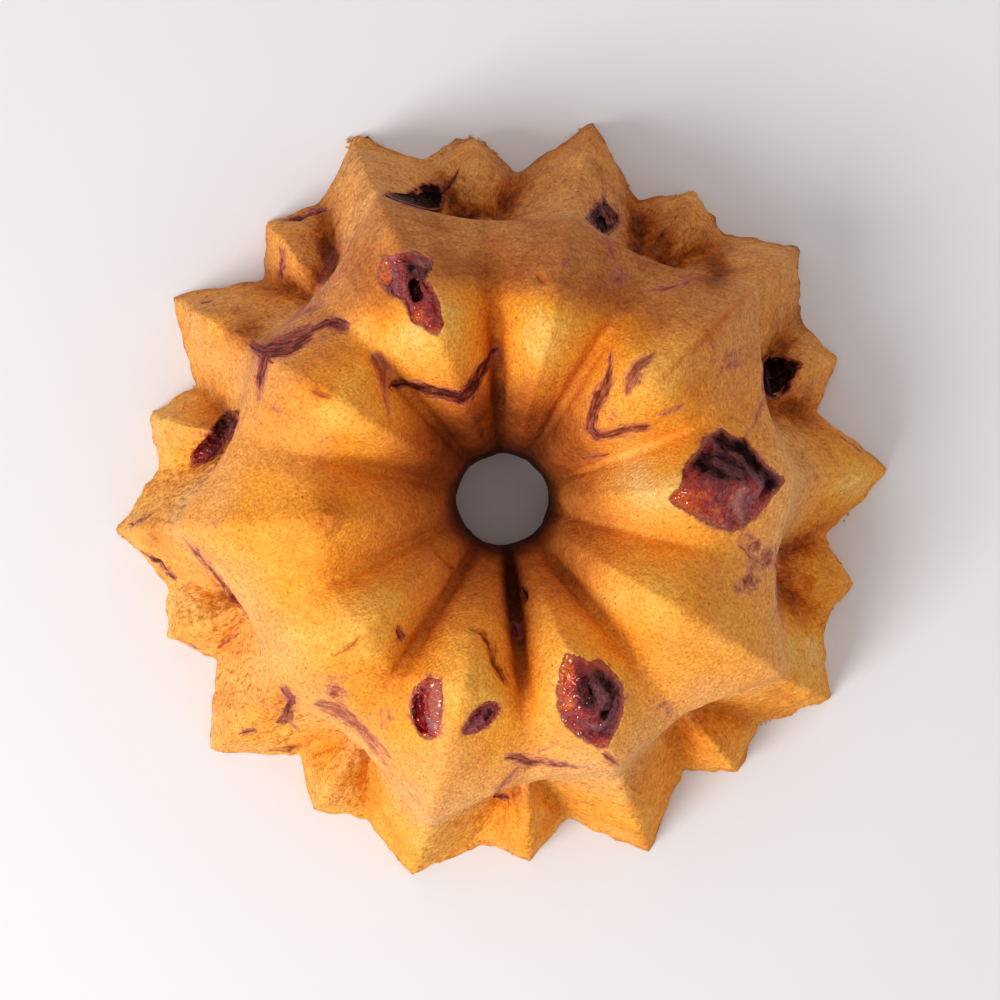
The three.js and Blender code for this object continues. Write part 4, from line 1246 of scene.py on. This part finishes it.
def fruit_shell(pocket, number, net, sizes):
    """One pocket's fruit as a closed lump: rings run from the middle to the outline and back beneath. The
    top lies under the crumb by the sunk depth, less where folds of skin and films stand up and more in the
    holes, and small bumps cover it. Gives its points and faces, and for each point how dark the flesh is,
    with painted shade darkening the holes, how near the edge it is, and how much skin and film cover it."""
    angle = np.linspace(0, 2 * np.pi, FRUIT_COLUMNS, endpoint=False)[:, None]
    out = np.concatenate([
        np.linspace(0, FRUIT_RIM, FRUIT_RINGS)[1:], np.linspace(FRUIT_RIM, 0, FRUIT_UNDER_RINGS)[1:-1],
    ])[None, :]
    under = np.arange(out.shape[1])[None, :] >= FRUIT_RINGS - 1
    limit = outline_radius(pocket, angle - 2 * np.pi * (angle > np.pi))
    px = pocket["middle"][0] + limit * out * np.cos(angle)
    py = pocket["middle"][1] - limit * out * np.sin(angle)
    surface = crumb_height(px, py, net)
    surface = surface + risen(from_picture(px, py, surface), sizes)
    place = from_picture(px, py, surface)
    inner = smooth(1.04, 0.86, out)
    drop = 0.25 + pocket["sunk"] * smooth(1.02, 0.8, out)
    deep = pocket["tone"] + 0.14 * noise(place, "fruit_tone", number) - 0.12 * smooth(0.8, 1.05, out)
    covers = {"skin": 0 * deep, "film": 0 * deep}
    for kind, amount, route in pocket["touches"]:
        within, _, _ = from_route(place, route)
        within = within + 0.4 * noise(place, "fruit_touches", number)
        sharp = kind in ("hole", "skin")
        here = smooth(-0.45, 0.45, within) if sharp else smooth(-1.5, 1.1, within)
        if kind == "hole":
            drop = drop + amount * here * inner
            # Painted shade: the flesh in a hole is darker as well as sunk.
            deep = deep + 0.16 * here
        elif kind in covers:
            drop = drop - 0.5 * amount * here * inner
            covers[kind] = np.maximum(covers[kind], amount * here)
        else:
            deep = deep + amount * here * (1 if kind == "dark" else -1)
    lumps, bumps = noise(place, "fruit_lumps", number), noise(place, "fruit_bumps", number)
    height = surface - np.minimum(drop, DEEPEST_HOLE) + (0.35 * lumps + 0.16 * bumps) * inner
    bulge = UNDERSIDE_BULGE * np.sqrt(np.clip(1 - (out / FRUIT_RIM) ** 2, 0, 1))
    height = np.where(under, surface - UNDERSIDE_AT_RIM - bulge, height)
    grid = np.stack([place[..., 0], place[..., 1], height], axis=-1)
    poles = np.stack([grid[:, 0].mean(0), grid[:, -1].mean(0)])
    edge = smooth(0.84, 1.04, out + 0.06 * noise(place, "fruit_edge", number))
    layers = {"deep": deep, "edge": edge, **covers}
    values = {name: np.append(layer.ravel(), [layer[:, 0].mean()] * 2) for name, layer in layers.items()}
    return np.concatenate([grid.reshape(-1, 3), poles]), cap_faces(*grid.shape[:2]), values


class CakeFruit(bpy.types.Operator):
    """The pockets of cooked fruit, each a closed shell that fills its pit"""

    bl_idname = "star_cake.fruit"
    bl_label = "Fruit pockets"

    def execute(self, context):
        sizes, flesh = context.scene.cake_sizes, fruit_material(context.scene.cake_colours)
        net = plain_net()
        for number, (name, pocket) in enumerate(POCKETS.items(), 1):
            vertices, faces, values = fruit_shell(pocket, number, net, sizes)
            piece = put_mesh(name + "_flesh", vertices, faces)
            for layer, stored in values.items():
                put_values(piece, layer, stored)
            piece.data.materials.append(flesh)
            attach(piece, "root")
            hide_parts(name)
        return {"FINISHED"}


def crumb_ball():
    """One crumb before it is squashed: the points of a ball of radius 1, rings from top to bottom,
    and its two poles."""
    turn = np.linspace(0, 2 * np.pi, CRUMB_COLUMNS, endpoint=False)[:, None]
    rise = np.linspace(np.pi / 2, -np.pi / 2, CRUMB_RINGS + 2)[1:-1][None, :]
    flat = [np.cos(turn) * np.cos(rise), np.sin(turn) * np.cos(rise), np.sin(rise) + 0 * turn]
    return np.concatenate([np.stack(flat, axis=-1).reshape(-1, 3), [[0, 0, 1], [0, 0, -1]]])


def random_turns(draw, count):
    """That many rotation matrices at random: the two free columns are random vectors made square
    to each other, and the third is their cross product."""
    first = draw.normal(size=(count, 3))
    first /= np.linalg.norm(first, axis=1, keepdims=True)
    second = np.cross(first, draw.normal(size=(count, 3)))
    second /= np.linalg.norm(second, axis=1, keepdims=True)
    return np.stack([first, second, np.cross(first, second)], axis=2)


class CakeCrumbs(bpy.types.Operator):
    """Crumbs and torn bits of crust that cling to the base edge and the lower ridges"""

    bl_idname = "star_cake.crumbs"
    bl_label = "Crumbs"

    def execute(self, context):
        draw = np.random.default_rng(CRUMB_SEED)
        net = plain_net()
        _, _, _, middle, _, base = ring_numbers()
        # Along the base edge at any column, and on the ridges of the lower tier.
        column = draw.integers(0, len(net), EDGE_CRUMBS)
        middles = [net[column, draw.integers(base - 9, base, EDGE_CRUMBS)]]
        sizes = [0.18 + 0.3 * draw.random(EDGE_CRUMBS) ** 2]
        ridge = draw.integers(0, len(net) // COLUMNS_PER_FACET, RIDGE_CRUMBS) * COLUMNS_PER_FACET
        column = (ridge + draw.integers(-4, 5, RIDGE_CRUMBS)) % len(net)
        middles.append(net[column, draw.integers(middle, base, RIDGE_CRUMBS)])
        sizes.append(0.15 + 0.2 * draw.random(RIDGE_CRUMBS) ** 2)
        # In clumps, each on the points of the base edge that show nearest to its pixel.
        edge = net[:, base - 5:base + 1].reshape(-1, 3)
        for px, py, count, largest, far in CRUMB_CLUMPS.values():
            near = np.argsort(from_spot(edge, px, py))[:CLUMP_POINTS]
            chosen = edge[draw.choice(near, count)]
            outward = chosen * [1, 1, 0] / np.hypot(chosen[:, 0], chosen[:, 1])[:, None]
            middles.append(chosen + outward * (far * draw.uniform(0, 0.5, count))[:, None])
            sizes.append(largest * (0.25 + 0.75 * draw.random(count) ** 2))
        middles, size = np.concatenate(middles), np.concatenate(sizes)
        middles = middles + 0.4 * draw.normal(size=middles.shape)
        middles[:, 2] = np.maximum(middles[:, 2], size * 0.5)
        stretch = draw.uniform(0.4, 1.3, (len(middles), 1, 3))
        lumps = np.einsum("kij,kpj->kpi", random_turns(draw, len(middles)), crumb_ball()[None] * stretch)
        lumps = lumps * size[:, None, None]
        dented = 1 + 0.5 * noise(3 * middles[:, None] + 2.2 * lumps, "dented")
        points = middles[:, None] + lumps * dented[..., None]
        points[..., 2] = np.maximum(points[..., 2], 0.05)
        one = cap_faces(CRUMB_COLUMNS, CRUMB_RINGS)
        corners = points.shape[1]
        faces = [[corner + k * corners for corner in face] for k in range(len(middles)) for face in one]
        piece = put_mesh("crumbs", points.reshape(-1, 3), faces, shaded_smooth=False)
        piece.data.materials.append(loose_crumb_material(context.scene.cake_colours))
        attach(piece, "root")
        return {"FINISHED"}


class CakeStage(bpy.types.Operator):
    """The pale floor, the daylight from the lower left, the fill and the camera overhead"""

    bl_idname = "star_cake.stage"
    bl_label = "Stage"

    def execute(self, context):
        scene, colours = context.scene, context.scene.cake_colours
        side = np.linspace(-FLOOR_HALF, FLOOR_HALF, FLOOR_CELLS + 1)
        gx, gy = np.meshgrid(side, side, indexing="ij")
        points = np.stack([gx, gy, 0 * gx + FLOOR_HEIGHT], axis=-1).reshape(-1, 3)
        i, j = np.meshgrid(np.arange(FLOOR_CELLS), np.arange(FLOOR_CELLS), indexing="ij")
        low, high = i * (FLOOR_CELLS + 1) + j, (i + 1) * (FLOOR_CELLS + 1) + j
        faces = np.stack([low, high, high + 1, low + 1], axis=-1).reshape(-1, 4)
        floor = put_mesh("floor", points, faces.tolist())
        floor.data.materials.append(painted_board_material(colours))
        world = bpy.data.worlds.new("studio")
        world.use_nodes = True
        fill = world.node_tree.nodes["Background"].inputs
        fill["Color"].default_value = FILL_COLOUR
        fill["Strength"].default_value = FILL_STRENGTH
        scene.world = world
        lamp = bpy.data.lights.new("window light", "AREA")
        lamp.shape = "DISK"
        lamp.size = WINDOW_WIDTH
        lamp.energy = WINDOW_POWER
        lamp.color = WINDOW_COLOUR
        holder = bpy.data.objects.new("window light", lamp)
        azimuth, elevation = math.radians(WINDOW_AZIMUTH), math.radians(WINDOW_ELEVATION)
        level = math.cos(elevation)
        way = Vector((math.cos(azimuth) * level, math.sin(azimuth) * level, math.sin(elevation)))
        holder.location = way * WINDOW_DISTANCE
        holder.rotation_euler = way.to_track_quat("Z", "Y").to_euler()
        scene.collection.objects.link(holder)
        camera = bpy.data.objects.new("camera", bpy.data.cameras.new("camera"))
        camera.location = Vector(CAMERA_AT) * MM
        back = (camera.location - Vector(CAMERA_AIM) * MM).normalized()
        right = Vector((0.0, 1.0, 0.0)).cross(back).normalized()
        camera.rotation_euler = Matrix((right, back.cross(right), back)).transposed().to_euler()
        camera.data.sensor_width = SENSOR
        camera.data.lens = CAMERA_LENS
        camera.data.clip_end = 10
        scene.collection.objects.link(camera)
        scene.camera = camera
        scene.view_settings.view_transform = "Standard"
        scene.view_settings.look = "Medium High Contrast"
        return {"FINISHED"}


class CakePanel(bpy.types.Panel):
    """Lists the steps that build the cake and its settings."""

    bl_idname = "VIEW3D_PT_star_cake"
    bl_label = "Star Ring Cake"
    bl_space_type = "VIEW_3D"
    bl_region_type = "UI"
    bl_category = "Cake"

    def draw(self, context):
        layout = self.layout
        for operator in OPERATORS:
            layout.operator(operator.bl_idname)
        for group in (context.scene.cake_sizes, context.scene.cake_colours):
            for name in type(group).__annotations__:
                layout.prop(group, name)


OPERATORS = (CakeSponge, CakeFruit, CakeCrumbs, CakeStage)
CLASSES = (CakeSizes, CakeColours, *OPERATORS, CakePanel)


def register():
    """Registers the classes and hangs the two groups of settings on the scene."""
    for each in CLASSES:
        bpy.utils.register_class(each)
    bpy.types.Scene.cake_sizes = PointerProperty(type=CakeSizes)
    bpy.types.Scene.cake_colours = PointerProperty(type=CakeColours)


def unregister():
    """Undoes register."""
    del bpy.types.Scene.cake_sizes
    del bpy.types.Scene.cake_colours
    for each in reversed(CLASSES):
        bpy.utils.unregister_class(each)


def main():
    """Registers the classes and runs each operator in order."""
    register()
    bpy.ops.star_cake.sponge()
    bpy.ops.star_cake.fruit()
    bpy.ops.star_cake.crumbs()
    bpy.ops.star_cake.stage()


if __name__ == "__main__":
    main()
